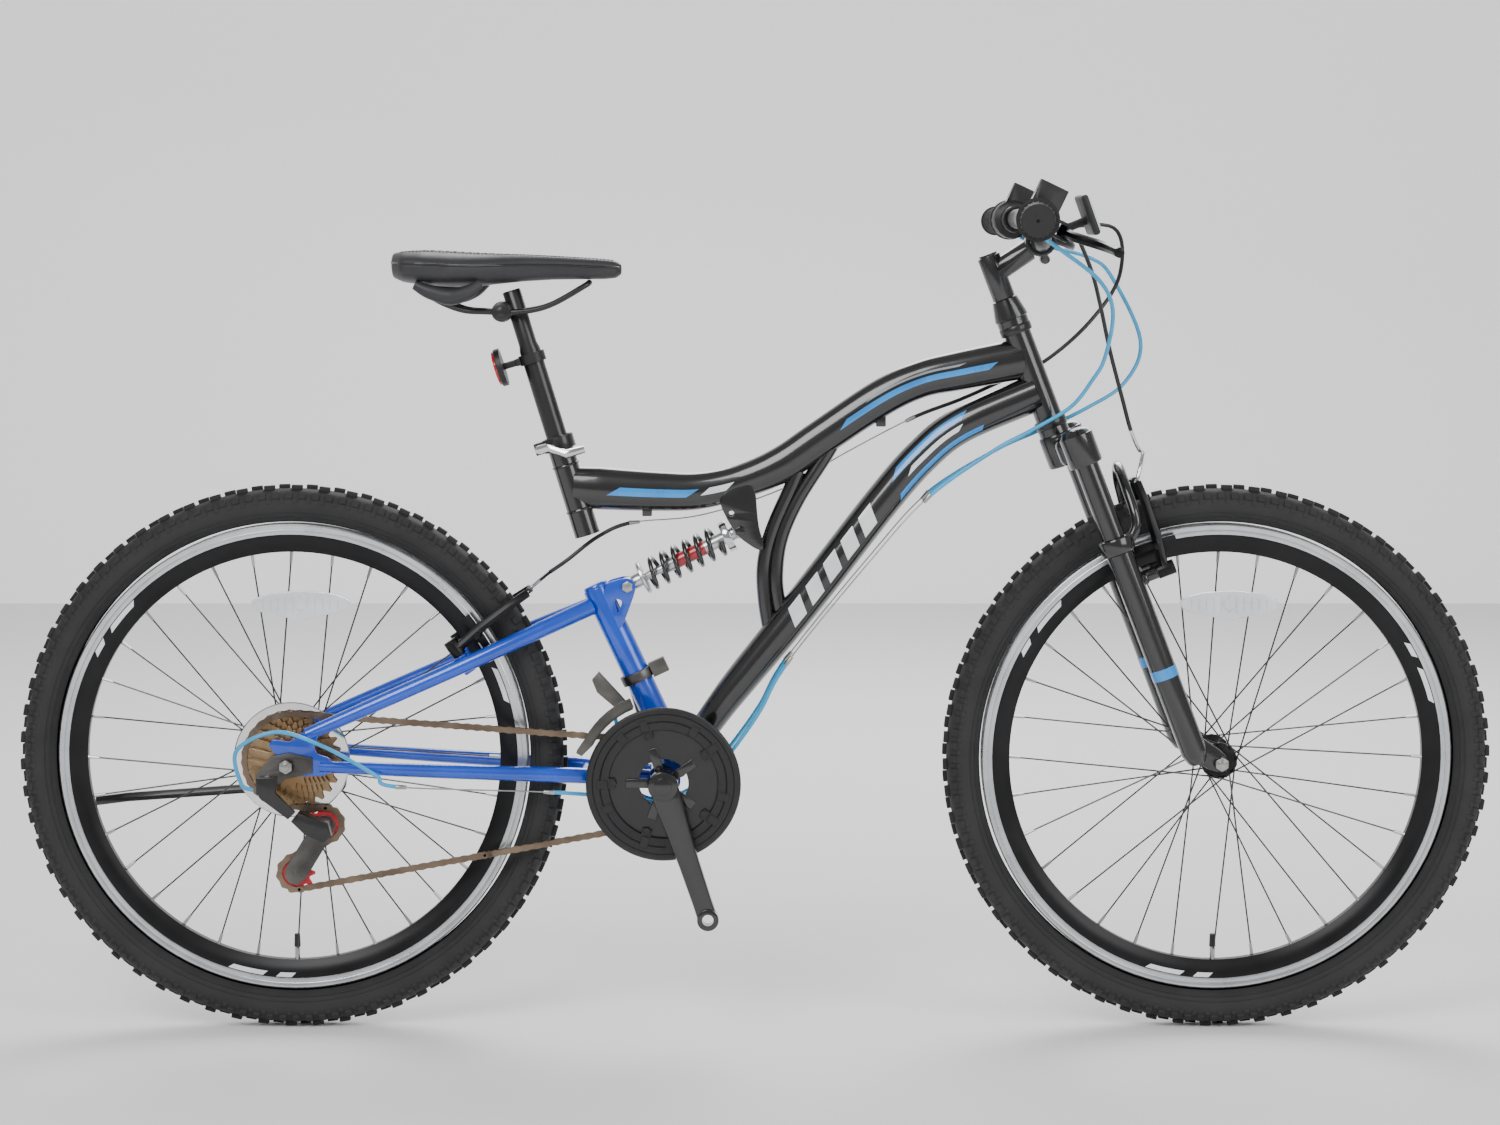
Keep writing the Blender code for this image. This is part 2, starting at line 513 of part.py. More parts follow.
bracket = [(-0.0420, 0.6396), (-0.0400, 0.6500), (-0.0283, 0.6600), (0.0000, 0.6660), (0.0041, 0.6120), (0.0110, 0.5900), (0.0080, 0.5842),
           (-0.0005, 0.5870), (-0.0190, 0.6000), (-0.0320, 0.6190)]
for side in (-1, 1):
    frame_solids.append(plate(bracket, side * 0.0110, side * 0.0150))
frame_solids.append(cross_rod(SHOCK_FRONT, -0.0180, 0.0180, 0.0040, 12))
frame_solids.append(rod(SEAT_FOOT, SEAT_FOOT + SEAT_TUBE_LEN * SEAT_UP, SEAT_TUBE_R, 16))
frame_solids.append(cross_rod(PIVOT, -0.0266, 0.0266, 0.0150, 16))
for x, z, side in ((0.1514, 0.7350, 0), (-0.1300, 0.6270, 0)):
    frame_solids.append(block((x, 0, z + 0.006), (0.012, 0.010, 0.016)))
cuts = [cross_rod(PIVOT, -0.04, 0.04, 0.0060, 16)]
cuts.append(rod(STEER_FOOT - 0.02 * STEER_UP, STEER_FOOT + 0.15 * STEER_UP, STEERER_BORE, 16))
cuts.append(rod(SEAT_FOOT - 0.02 * SEAT_UP, SEAT_FOOT + 0.15 * SEAT_UP, POST_R + 0.0004, 16))
node("main_frame", BLACK_PAINT, frame_solids, cuts)

# ---- seat post, collar and saddle --------------------------------------------------------------
SADDLE_BOLT = Vector((-0.3024, 0, 0.8709))
COLLAR_LOW, COLLAR_HIGH = 0.1080, 0.1240
collar_r = SEAT_TUBE_R + PLATE_GAP
collar = turned([(collar_r + 0.0035, COLLAR_HIGH), (collar_r + 0.0035, COLLAR_LOW), (collar_r, COLLAR_LOW),
                 (collar_r, COLLAR_HIGH)], SEAT_FOOT, SEAT_UP, 16)
collar_turn = axes(SEAT_AHEAD, SEAT_UP)
mid = (COLLAR_LOW + COLLAR_HIGH) / 2
ears = [block(seat(-0.0225, side * 0.0055, mid), (0.014, 0.005, 0.014), collar_turn) for side in (-1, 1)]
bolt = rod(seat(-0.0240, -0.0130, mid), seat(-0.0240, 0.0190, mid), 0.0028, 8)
nut = rod(seat(-0.0240, 0.0070, mid), seat(-0.0240, 0.0180, mid), 0.0064, 10)
node("seat_clamp_collar", BLACK_STEEL, [collar, *ears, bolt, nut])
lever_pivot = seat(-0.0240, -0.0210, mid)
SEAT_LEVER = joint_empty("joint_seat_lever", lever_pivot)
lever_line = [lever_pivot, lever_pivot + Vector((0.012, -0.006, 0.004)), Vector((-0.2250, -0.0300, 0.7020)),
              Vector((-0.2038, -0.0290, 0.7080))]
lever = tube(lever_line, 0.0050, 8, [1.1, 1, 1.1, 0.9])
node("seat_clamp_lever", STEEL, [lever, rod(lever_pivot + Vector((0, 0.0055, 0)), lever_pivot, 0.0050, 10)], on=SEAT_LEVER)

POST = joint_empty("joint_seatpost", seat(0, 0, 0.16))
post = [rod(seat(0, 0, 0.0450), seat(0, 0, 0.2400), POST_R, 16), rod(seat(0, 0, 0.2350), seat(0, 0, 0.3075), 0.0110, 16),
        cross_rod(SADDLE_BOLT, -0.0120, 0.0120, 0.0125, 16)]
node("seatpost", ALLOY, post, [cross_rod(SADDLE_BOLT, -0.03, 0.03, 0.0045, 12)], on=POST)
clip_at = seat(0, 0, 0.2230)
clip = turned([(POST_R + 0.0033, 0.006), (POST_R + 0.0033, -0.006), (POST_R + PLATE_GAP, -0.006),
               (POST_R + PLATE_GAP, 0.006)], clip_at, SEAT_UP, 16)
stalk = block(clip_at - 0.0260 * SEAT_AHEAD, (0.024, 0.008, 0.008), collar_turn)
disc_at = clip_at - 0.0360 * SEAT_AHEAD
disc = rod(disc_at, disc_at - 0.010 * SEAT_AHEAD, 0.0230, 24)
node("rear_reflector", RED_PLASTIC, [clip, stalk, disc], on=POST)

TILT = joint_empty("joint_saddle_tilt", SADDLE_BOLT, POST)
clamp = [cross_rod(SADDLE_BOLT, -0.0310, 0.0310, 0.0040, 12), cross_rod(SADDLE_BOLT, -0.0290, -0.0123, 0.0115, 15),
         cross_rod(SADDLE_BOLT, 0.0123, 0.0290, 0.0115, 15)]
for side in (-1, 1):
    rail = [(-0.3900, side * 0.0420, 0.8990), (-0.3780, side * 0.0400, 0.8860), (-0.3500, side * 0.0300, 0.8740),
            (-0.3240, side * 0.0230, 0.8714), (-0.2800, side * 0.0226, 0.8714), (-0.2450, side * 0.0200, 0.8790),
            (-0.2050, side * 0.0100, 0.9010), (-0.1980, side * 0.0000, 0.9040)]
    clamp.append(tube(rail, 0.0035, 6))
node("saddle_rails", BLACK_STEEL, clamp, on=TILT)
sections = [(-0.434, 0.030, 0.9180, 0.9380), (-0.425, 0.058, 0.9080, 0.9440), (-0.400, 0.073, 0.9030, 0.9450),
            (-0.360, 0.068, 0.9000, 0.9430), (-0.320, 0.046, 0.9010, 0.9410), (-0.280, 0.030, 0.9070, 0.9400),
            (-0.220, 0.022, 0.9090, 0.9370), (-0.180, 0.019, 0.9090, 0.9340), (-0.160, 0.012, 0.9120, 0.9300)]


def lofted(sections, around=10):
    """A closed body through rounded sections across X, each (x, half width, bottom, top)."""
    build = bmesh.new()
    rows = []
    for x, half, low, high in sections:
        row = []
        for k in range(around):
            angle = math.tau * (k + 0.5) / around
            c, s = math.cos(angle), math.sin(angle)
            y = half * math.copysign(abs(c) ** 0.6, c)
            z = (low + high) / 2 + (high - low) / 2 * math.copysign(abs(s) ** 0.8, s)
            row.append(build.verts.new((x, y, z)))
        rows.append(row)
    for a, b in zip(rows, rows[1:]):
        for k in range(around):
            build.faces.new((a[k], a[(k + 1) % around], b[(k + 1) % around], b[k]))
    build.faces.new(rows[0])
    build.faces.new(rows[-1])
    bmesh.ops.recalc_face_normals(build, faces=build.faces)
    return from_bmesh(build)


saddle = lofted(sections)
wings = [lofted([(-0.400, 0.010, 0.8900, 0.9150), (-0.360, 0.012, 0.8790, 0.9150), (-0.325, 0.010, 0.8900, 0.9150)], 8)
         for side in (-1, 1)]
for side, wing in zip((-1, 1), wings):
    wing.data.transform(Matrix.Translation((0, side * 0.056, 0)))
slot_rails = [tube([(-0.3960, side * 0.0420, 0.9080), (-0.3900, side * 0.0420, 0.8990), (-0.3780, side * 0.0400, 0.8860)], 0.0039, 8)
              for side in (-1, 1)]
node("saddle", VINYL, [saddle, *wings], slot_rails, on=TILT)

# ---- fork --------------------------------------------------------------------------------------
UPPER_END = 0.300
fork = [rod(steer(0, 0, -0.030), steer(0, 0, HEAD_TUBE_LEN + 0.034), 0.0126, 16)]
fork.append(rod(steer(0, 0, -0.012), steer(0, 0, -0.0015), 0.0185, 16))
fork.append(rod(steer(0, 0, HEAD_TUBE_LEN + 0.0015), steer(0, 0, HEAD_TUBE_LEN + 0.009), 0.0190, 16))
fork.append(rod(steer(0, 0, HEAD_TUBE_LEN + 0.0085), steer(0, 0, HEAD_TUBE_LEN + 0.0345), 0.0205, 18, 0.0155))
crown_turn = axes(STEER_AHEAD, STEER_UP)
fork.append(block(steer(0.010, 0, -0.0315), (0.036, 0.130, 0.036), crown_turn))
fork.append(rod(steer(0, 0, -0.050), steer(0, 0, -0.010), 0.0210, 16))
for side in (-1, 1):
    fork.append(rod(steer(LEG_F, side * LEG_Y, -0.052), steer(LEG_F, side * LEG_Y, -0.013), 0.0205, 16))
    fork.append(rod(steer(LEG_F, side * LEG_Y, -0.015), steer(LEG_F, side * LEG_Y, -0.007), 0.0190, 18, 0.0120))
    fork.append(rod(steer(LEG_F, side * LEG_Y, -UPPER_END), steer(LEG_F, side * LEG_Y, -0.040), UPPER_R, 16))
bores = [rod(steer(0, 0, -0.020), steer(0, 0, 0.20), 0.0114, 16)]
node("fork_crown", BLACK_PAINT, fork, bores, on=STEER)

LOWER_TOP, COLLAR_END, BOSS_DOWN = 0.145, 0.164, 0.206
lowers = []
leg_bores = [rod(steer(LEG_F, side * LEG_Y, -0.360), steer(LEG_F, side * LEG_Y, -0.10), UPPER_R + 0.0006, 16)
             for side in (-1, 1)]
arch = [(0.034, 0.064, -0.156), (0.0480, 0.062, -0.142), (0.0520, 0.058, -0.125), (0.0540, 0.044, -0.098),
        (0.0560, 0.022, -0.080), (0.0570, 0.0, -0.074)]
arch += [(f, -y, s) for f, y, s in reversed(arch[:-1])]
lowers.append(tube([steer(*p) for p in arch], 0.0062, 8))
for side in (-1, 1):
    lowers.append(rod(steer(LEG_F, side * LEG_Y, -0.425), steer(LEG_F, side * LEG_Y, -LOWER_TOP), LOWER_R, 16))
    lowers.append(rod(steer(LEG_F, side * LEG_Y, -COLLAR_END), steer(LEG_F, side * LEG_Y, -LOWER_TOP - 0.001), 0.0215, 16))
    lowers.append(rod(steer(LEG_F, side * LEG_Y, -0.436), steer(LEG_F, side * LEG_Y, -0.424), 0.0090, 15, 0.0150))
    outline = [(0.010, -0.395), (0.030, -0.405), (0.052, -0.436), (0.054, -0.452), (0.046, -0.460), (0.030, -0.452),
               (0.012, -0.430)]
    points = [steer(f, 0, s) for f, s in outline]
    tab = plate([(p.x, p.z) for p in points], side * 0.0500, side * 0.0550, [ring_points(FRONT_AXLE, 0.0052, 12)])
    lowers.append(tab)
    boss = steer(0.0620, side * BOSS_Y, -BOSS_DOWN)
    lowers.append(rod(boss - 0.034 * STEER_AHEAD, boss + 0.010 * STEER_AHEAD, BOSS_R, 12))
    lowers.append(block(steer(0.0330, side * 0.0500, -BOSS_DOWN), (0.020, 0.030, 0.014), crown_turn))
node("fork_lowers", BLACK_PAINT, lowers, leg_bores, on=LOWERS)

# ---- brakes ------------------------------------------------------------------------------------
def brake_arm(name, wheel_centre, boss, out, up, side, top, on, spin):
    """A V-brake arm. out is its boss's axis away from the frame, up runs from the boss away from the axle."""
    pivot = joint_empty(f"joint_{name}", boss, on)
    sleeve = rod(boss - 0.0080 * out, boss + 0.0135 * out, 0.0088)
    bore = rod(boss - 0.03 * out, boss + 0.0103 * out, BOSS_R + PLATE_GAP)
    line = [boss + 0.004 * up + 0.001 * out, boss + 0.040 * up + 0.006 * out - side * 0.002 * Y_AXIS,
            boss + 0.080 * up + 0.008 * out + side * (top - BOSS_Y) * 0.25 * Y_AXIS,
            boss + 0.108 * up + 0.008 * out + side * (top - BOSS_Y) * Y_AXIS]
    arm = tube(line, 0.0070, 6, [1.0, 1.0, 0.85, 0.8])
    toward = (boss - wheel_centre) - side * BOSS_Y * Y_AXIS
    pad_mid = wheel_centre + PAD_REACH * toward.normalized()
    along = Y_AXIS.cross(toward).normalized()
    pad = block(pad_mid + side * 0.0207 * Y_AXIS, (0.052, 0.0110, 0.0080), axes(along, toward))
    stem = rod(pad_mid + side * 0.0200 * Y_AXIS, pad_mid + side * 0.0470 * Y_AXIS, 0.0035, 8)
    link = rod(pad_mid + side * 0.0395 * Y_AXIS, boss + 0.034 * up + 0.004 * out, 0.0060, 8)
    node(name, BLACK_STEEL, [arm, sleeve, link, stem, pad], [bore], on=pivot)


for side, word in ((-1, "right"), (1, "left")):
    boss = steer(0.0620, side * BOSS_Y, -BOSS_DOWN)
    brake_arm(f"front_brake_arm_{word}", FRONT_AXLE, boss, STEER_AHEAD, STEER_UP, side, 0.026, LOWERS, None)
    arm_dir = Vector((math.cos(math.radians(34)), 0, math.sin(math.radians(34))))
    boss_dir = Vector((-arm_dir.z, 0, arm_dir.x))
    boss = REAR_AXLE + BRAKE_REACH * arm_dir + side * BOSS_Y * Y_AXIS
    brake_arm(f"rear_brake_arm_{word}", REAR_AXLE, boss, boss_dir, arm_dir, side, 0.026, SWING, None)

# ---- handlebar and controls --------------------------------------------------------------------
QUILL_TOP = HEAD_TUBE_LEN + 0.092
CLAMP = Vector((0.340, 0, 0.955))
BAR_R = 0.0127
BAR_LINE = [(0.3400, 0.000, 0.9550), (0.3400, 0.028, 0.9550), (0.3340, 0.060, 0.9700), (0.3295, 0.085, 0.9800),
            (0.3279, 0.120, 0.9815), (0.3220, 0.190, 0.9806), (0.3110, 0.320, 0.9790)]


def on_bar(y):
    """The bar's centre at y, between the points of its centre line."""
    for (x0, y0, z0), (x1, y1, z1) in zip(BAR_LINE, BAR_LINE[1:]):
        if y0 <= abs(y) <= y1:
            t = (abs(y) - y0) / (y1 - y0)
            return Vector((x0 + t * (x1 - x0), y, z0 + t * (z1 - z0)))
    raise ValueError("y is past the end of the bar")


stem = [rod(steer(0, 0, 0.020), steer(0, 0, QUILL_TOP), 0.0111, 16),
        rod(steer(0, 0, HEAD_TUBE_LEN + 0.0350), steer(0, 0, QUILL_TOP - 0.003), 0.0140, 15),
        rod(steer(0, 0, QUILL_TOP - 0.024), CLAMP - Vector((0.012, 0, 0.010)), 0.0135, 16),
        cross_rod(CLAMP, -0.0230, 0.0230, 0.0185, 16)]
clamp_bolt = cross_rod(CLAMP + Vector((0.006, 0, -0.0215)), -0.016, 0.016, 0.0060, 10)
node("stem", BLACK_PAINT, [*stem, clamp_bolt], [cross_rod(CLAMP, -0.03, 0.03, BAR_R + PLATE_GAP, 16)], on=STEER)
bar_route = [Vector((x, -y, z)) for x, y, z in reversed(BAR_LINE[1:])] + [Vector(p) for p in BAR_LINE]
node("handlebar", BLACK_STEEL, [tube(bar_route, BAR_R, 12)], on=STEER)
for side, word in ((-1, "right"), (1, "left")):
    outer = on_bar(side * 0.3185)
    inner = on_bar(side * 0.2000)
    out = (outer - inner).normalized()

    def along(y, out=out, inner=inner, side=side):
        return inner + (abs(y) - 0.2000) * out

    def sleeve(y_from, y_to, radius, sides=16, end_radius=None):
        return rod(along(y_from), along(y_to), radius, sides, end_radius)

    hole = rod(along(0.10), along(0.3212), BAR_R + PLATE_GAP, 16)
    grip = [sleeve(0.2475, 0.3235, 0.0160), sleeve(0.3200, 0.3250, 0.0185)]
    node(f"grip_{word}", GRIP_RUBBER, grip, [hole], on=STEER)
    TWIST = joint_empty(f"joint_twist_{word}", along(0.2260), STEER)
    hole = rod(along(0.10), along(0.36), BAR_R + PLATE_GAP, 16)
    twist = [sleeve(0.2060, 0.2130, 0.0250), sleeve(0.2110, 0.2470, 0.0205, 17, 0.0170)]
    node(f"twist_grip_{word}", GRIP_RUBBER, twist, [hole], on=TWIST)
    hole = rod(along(0.10), along(0.36), BAR_R + PLATE_GAP, 16)
    ahead = Vector((0.90, 0, -0.43)).normalized()
    above = Vector((0.43, 0, 0.90)).normalized()
    turn = axes(ahead, above)
    box_at = along(0.1900) + 0.030 * above
    housing = [sleeve(0.1760, 0.2055, 0.0240), block(box_at, (0.034, 0.022, 0.026), turn),
               sleeve(0.1540, 0.1770, 0.0170)]
    pivot_at = along(0.1640) + 0.034 * ahead
    housing.append(block(along(0.1640) + 0.0165 * ahead, (0.0150, 0.016, 0.014), turn))
    housing.append(rod(pivot_at - 0.0105 * above, pivot_at + 0.0105 * above, 0.0032, 8))
    for low in (-1, 1):
        housing.append(block(along(0.1640) + 0.0260 * ahead + low * 0.0087 * above, (0.0300, 0.015, 0.0034), turn))
    node(f"brake_bracket_{word}", PLASTIC, housing, [hole], on=STEER)
    LEVER = joint_empty(f"joint_brake_lever_{word}", pivot_at, STEER)
    tip = Vector((0.404, side * 0.290, 0.944))
    line = smooth([pivot_at, pivot_at + Vector((0.010, side * 0.030, -0.006)), Vector((0.3960, side * 0.220, 0.9500)), tip], 3)
    blade = tube(line, 0.0062, 8, [1.0, 1, 1, 1, 1, 1, 1, 1, 0.9, 1.0])
    knuckle = rod(pivot_at - 0.0066 * above, pivot_at + 0.0066 * above, 0.0080, 12)
    bore = rod(pivot_at - 0.02 * above, pivot_at + 0.02 * above, 0.0036, 8)
    node(f"brake_lever_{word}", BLACK_STEEL, [knuckle, blade], [bore], on=LEVER)

LAMP_AT = Vector((0.3980, 0, 0.9865))
lamp_turn = axes(Vector((0.94, 0, 0.34)), Vector((-0.34, 0, 0.94)))
lamp = [block(LAMP_AT, (0.011, 0.090, 0.050), lamp_turn),
        block(CLAMP + Vector((0.0390, 0, 0.0180)), (0.040, 0.014, 0.010), axes(Vector((1, 0, 0.40)), (0, 0, 1)))]
node("front_reflector", CLEAR_PLASTIC, lamp, on=STEER)

# ---- shock -------------------------------------------------------------------------------------
SHOCK_DIR = (SHOCK_FRONT - SHOCK_REAR).normalized()
SHOCK = joint_empty("joint_shock", SHOCK_FRONT)
SLIDE = joint_empty("joint_shock_slide", SHOCK_REAR, SHOCK)
SHOCK_LEN = (SHOCK_FRONT - SHOCK_REAR).length


def shock(s):
    return SHOCK_REAR + s * SHOCK_DIR


body = [rod(shock(0.052), shock(SHOCK_LEN - 0.008), 0.0088, 16), cross_rod(SHOCK_FRONT, -0.0100, 0.0100, 0.0088, 16),
        rod(shock(0.1300), shock(0.1390), 0.0195, 16)]
cuts = [rod(shock(0.030), shock(0.120), 0.0055, 12), cross_rod(SHOCK_FRONT, -0.03, 0.03, 0.0044, 12)]
node("shock_body", BLACK_STEEL, body, cuts, on=SHOCK)
rear = [cross_rod(SHOCK_REAR, -0.0100, 0.0100, 0.0095, 16), rod(shock(0.004), shock(0.020), 0.0090, 12),
        rod(shock(0.0190), shock(0.0235), 0.0205, 16), rod(shock(0.012), shock(0.092), 0.0050, 11)]
node("shock_rod", ALLOY, rear, [cross_rod(SHOCK_REAR, -0.03, 0.03, 0.0056, 16)], on=SLIDE)
COIL_FROM, COIL_TO, COIL_R, WIRE_R, COILS, COIL_SIDES = 0.0272, 0.1262, 0.0180, 0.0029, 6.5, 8
shock_across = Y_AXIS.cross(SHOCK_DIR)
coil = []
for k in range(int(COILS * COIL_SIDES) + 1):
    angle = math.tau * k / COIL_SIDES
    s = COIL_FROM + (COIL_TO - COIL_FROM) * k / (COILS * COIL_SIDES)
    coil.append(shock(s) + COIL_R * (math.cos(angle) * Y_AXIS + math.sin(angle) * shock_across))
node("shock_spring", BLACK_PAINT, [tube(coil, WIRE_R, 4)], on=SLIDE)

# ---- rear derailleur ---------------------------------------------------------------------------
SHIFT = joint_empty("joint_rear_shift", GUIDE_PULLEY, SWING)
CAGE = joint_empty("joint_derailleur_cage", GUIDE_PULLEY, SHIFT)
hanger = [(-0.5280, 0.3240), (-0.5280, 0.3420), (-0.5560, 0.3480), (-0.5760, 0.3440), (-0.5960, 0.3220), (-0.5960, 0.3080),
          (-0.5840, 0.3010), (-0.5720, 0.3080), (-0.5600, 0.3160)]
b_bolt = Vector((-0.5815, 0, 0.3158))
slot = ring_points(REAR_AXLE, 0.0052, 12)
claw = plate(hanger, -0.0723, -0.0750, [slot])
node("derailleur_hanger", CLAW_STEEL, [claw, cross_rod(b_bolt, -0.0745, -0.0800, 0.0060, 10)], on=SWING)
arm = plate([(b_bolt.x - 0.010, b_bolt.z - 0.010), (b_bolt.x + 0.008, b_bolt.z - 0.012), (-0.5480, 0.2780),
             (-0.5560, 0.2700), (-0.5900, 0.2960)], -0.0804, -0.0890)
head = plate([(b_bolt.x - 0.012, b_bolt.z + 0.004), (b_bolt.x + 0.012, b_bolt.z + 0.004), (b_bolt.x + 0.010, b_bolt.z - 0.016),
              (b_bolt.x - 0.012, b_bolt.z - 0.016)], -0.0804, -0.0890)
node("derailleur_links", BLACK_STEEL, [arm, head], on=SWING)
knuckle = [plate([(-0.5460, 0.2760), (-0.5300, 0.2700), (-0.5100, 0.2640), (-0.5060, 0.2480), (-0.5160, 0.2400),
                  (-0.5380, 0.2500), (-0.5540, 0.2660)], -0.0560, -0.0798),
           cross_rod(GUIDE_PULLEY, -0.0560, -0.0450, 0.0110, 16)]
node("derailleur_knuckle", BLACK_STEEL, knuckle, on=SHIFT)
CHAIN_Y = SPROCKET_Y
run = (TENSION_PULLEY - GUIDE_PULLEY).normalized()
outline = []
for centre, start in ((GUIDE_PULLEY, math.atan2(-run.z, -run.x)), (TENSION_PULLEY, math.atan2(run.z, run.x))):
    outline += ring_points(centre, 0.0135, 5, start - math.pi / 2, math.pi)
cage_solids = []
for y in (CHAIN_Y - 0.0082, CHAIN_Y + 0.0062):
    cage_solids.append(plate(outline, y, y + 0.0018))
for centre in (GUIDE_PULLEY, TENSION_PULLEY):
    cage_solids.append(cross_rod(centre, CHAIN_Y - 0.0090, CHAIN_Y + 0.0090, 0.0030, 10))
cage_solids.append(cross_rod(GUIDE_PULLEY, CHAIN_Y - 0.0080, -0.0447, 0.0080, 16))
node("derailleur_cage", CLAW_STEEL, cage_solids, on=CAGE)
for name, centre in (("guide_pulley", GUIDE_PULLEY), ("tension_pulley", TENSION_PULLEY)):
    spin = joint_empty(f"joint_{name}", centre, CAGE)
    wheel_plate = plate(gear_outline(PULLEY_TEETH, centre, 0.0, 0.0029), CHAIN_Y - 0.0012, CHAIN_Y + 0.0012,
                        [ring_points(centre, 0.0036, 8)])
    hub = turned([(0.0090, 0.0055), (0.0090, -0.0055), (0.0034, -0.0055), (0.0034, 0.0055)],
                 centre + CHAIN_Y * Y_AXIS, Y_AXIS, 10)
    node(name, RED_PLASTIC, [hub, wheel_plate], on=spin)

# ---- kickstand ---------------------------------------------------------------------------------
STAND = joint_empty("joint_kickstand", Vector((-0.5200, 0.0850, 0.2850)), SWING)
stand_line = [(-0.5200, 0.0850, 0.2850), (-0.5400, 0.0900, 0.2835), (-0.7800, 0.0950, 0.2655), (-0.8200, 0.0980, 0.2600)]
stand = [tube([Vector(p) for p in stand_line], 0.0062, 6), cross_rod(Vector((-0.5200, 0, 0.2850)), 0.0775, 0.0920, 0.0130, 16)]
node("kickstand_leg", BLACK_STEEL, stand, on=STAND)

# ---- front derailleur --------------------------------------------------------------------------
FRONT_SHIFT = joint_empty("joint_front_shift", BB, SWING)
upright_dir = (UPRIGHT_TOP - UPRIGHT_FOOT).normalized()
band_at = Vector((-0.1420, 0, 0.4310))
band_at = UPRIGHT_FOOT + (band_at - UPRIGHT_FOOT).dot(upright_dir) * upright_dir
band = turned([(0.0208, 0.006), (0.0208, -0.006), (0.0173, -0.006), (0.0173, 0.006)], band_at, upright_dir, 16)
mount_turn = axes(upright_dir.cross(Y_AXIS), upright_dir)
mount = block(band_at - 0.0285 * upright_dir.cross(Y_AXIS) - 0.0060 * Y_AXIS, (0.0200, 0.0130, 0.0180), mount_turn)
node("front_derailleur_clamp", CLAW_STEEL, [band, mount], on=SWING)
arc_in, arc_out = 0.0960, 0.1080
arc_from, arc_to = math.radians(112), math.radians(152)
outline = ring_points(BB, arc_out, 8, arc_from, arc_to - arc_from) + [(-0.2150, 0.3440), (-0.2080, 0.3400)]
outline += ring_points(BB, arc_in, 8, arc_to, arc_from - arc_to)
cage_y = (-0.0335, -0.0495)
cage = [plate(outline, y, y - 0.0012) for y in cage_y]
bridge_at = BB + 0.1040 * Vector((math.cos(math.radians(118)), 0, math.sin(math.radians(118))))
cage.append(cross_rod(bridge_at, cage_y[0] - 0.0005, cage_y[1] - 0.0007, 0.0030, 8))
low_bridge_at = Vector((-0.2116, 0, 0.3450))
cage.append(cross_rod(low_bridge_at, cage_y[0] - 0.0005, cage_y[1] - 0.0007, 0.0014, 8))
reach = [(-0.1600, 0.4080), (-0.1540, 0.4010), (-0.1680, 0.3960), (-0.1900, 0.4150), (-0.1960, 0.4300), (-0.1880, 0.4390)]
cage.append(plate(reach, -0.0190, -0.0340))
node("front_derailleur_cage", CLAW_STEEL, cage, on=FRONT_SHIFT)

# ---- chain -------------------------------------------------------------------------------------
RING_Y = CHAINRINGS[0][1]
RING_R, COG_R, PULLEY_R = pitch_radius(24), pitch_radius(28), pitch_radius(PULLEY_TEETH)


def tangent(a, ra, sa, b, rb, sb):
    """Where the line that runs off circle a and on to circle b touches each. sa and sb are +1 for anticlockwise."""
    d = Vector((b.x - a.x, b.z - a.z))
    gap = sa * ra - sb * rb
    base = math.atan2(d.y, d.x) + math.asin(gap / d.length)
    return base - sa * math.pi / 2, base - sb * math.pi / 2


def wrap(centre, radius, y, start, end, turn, count):
    """Points round a circle from one angle to another, turning +1 anticlockwise or -1 clockwise."""
    sweep = (end - start) * turn % math.tau * turn
    return [Vector((centre.x + radius * math.cos(start + sweep * k / count), y,
                    centre.z + radius * math.sin(start + sweep * k / count))) for k in range(count + 1)]


stops = [(BB, RING_R, RING_Y, 1), (REAR_AXLE, COG_R, CHAIN_Y, 1), (GUIDE_PULLEY, PULLEY_R, CHAIN_Y, -1),
         (TENSION_PULLEY, PULLEY_R, CHAIN_Y, 1)]
touches = []
for k, (a, ra, ya, sa) in enumerate(stops):
    b, rb, _, sb = stops[(k + 1) % 4]
    touches.append(tangent(a, ra, sa, b, rb, sb))
loop = []
for k, (centre, radius, y, turn) in enumerate(stops):
    loop += wrap(centre, radius, y, touches[k - 1][1], touches[k][0], turn, (6, 7, 4, 5)[k])


def band(offset_y, width):
    """One closed strip of side plates along the chain's whole loop."""
    build = bmesh.new()
    count = len(loop)
    rows = []
    for k, point in enumerate(loop):
        before, after = (point - loop[k - 1]).normalized(), (loop[(k + 1) % count] - point).normalized()
        ahead = before + after
        ahead.y = 0
        across = ahead.normalized().cross(Y_AXIS) * CHAIN_HALF_TALL
        rows.append([build.verts.new(point + side * across + (offset_y + shift) * Y_AXIS)
                     for side, shift in ((-1, -width), (1, -width), (1, width), (-1, width))])
    for k in range(count):
        a, b = rows[k], rows[(k + 1) % count]
        for j in range(4):
            build.faces.new((a[j], a[(j + 1) % 4], b[(j + 1) % 4], b[j]))
    bmesh.ops.recalc_face_normals(build, faces=build.faces)
    return from_bmesh(build)


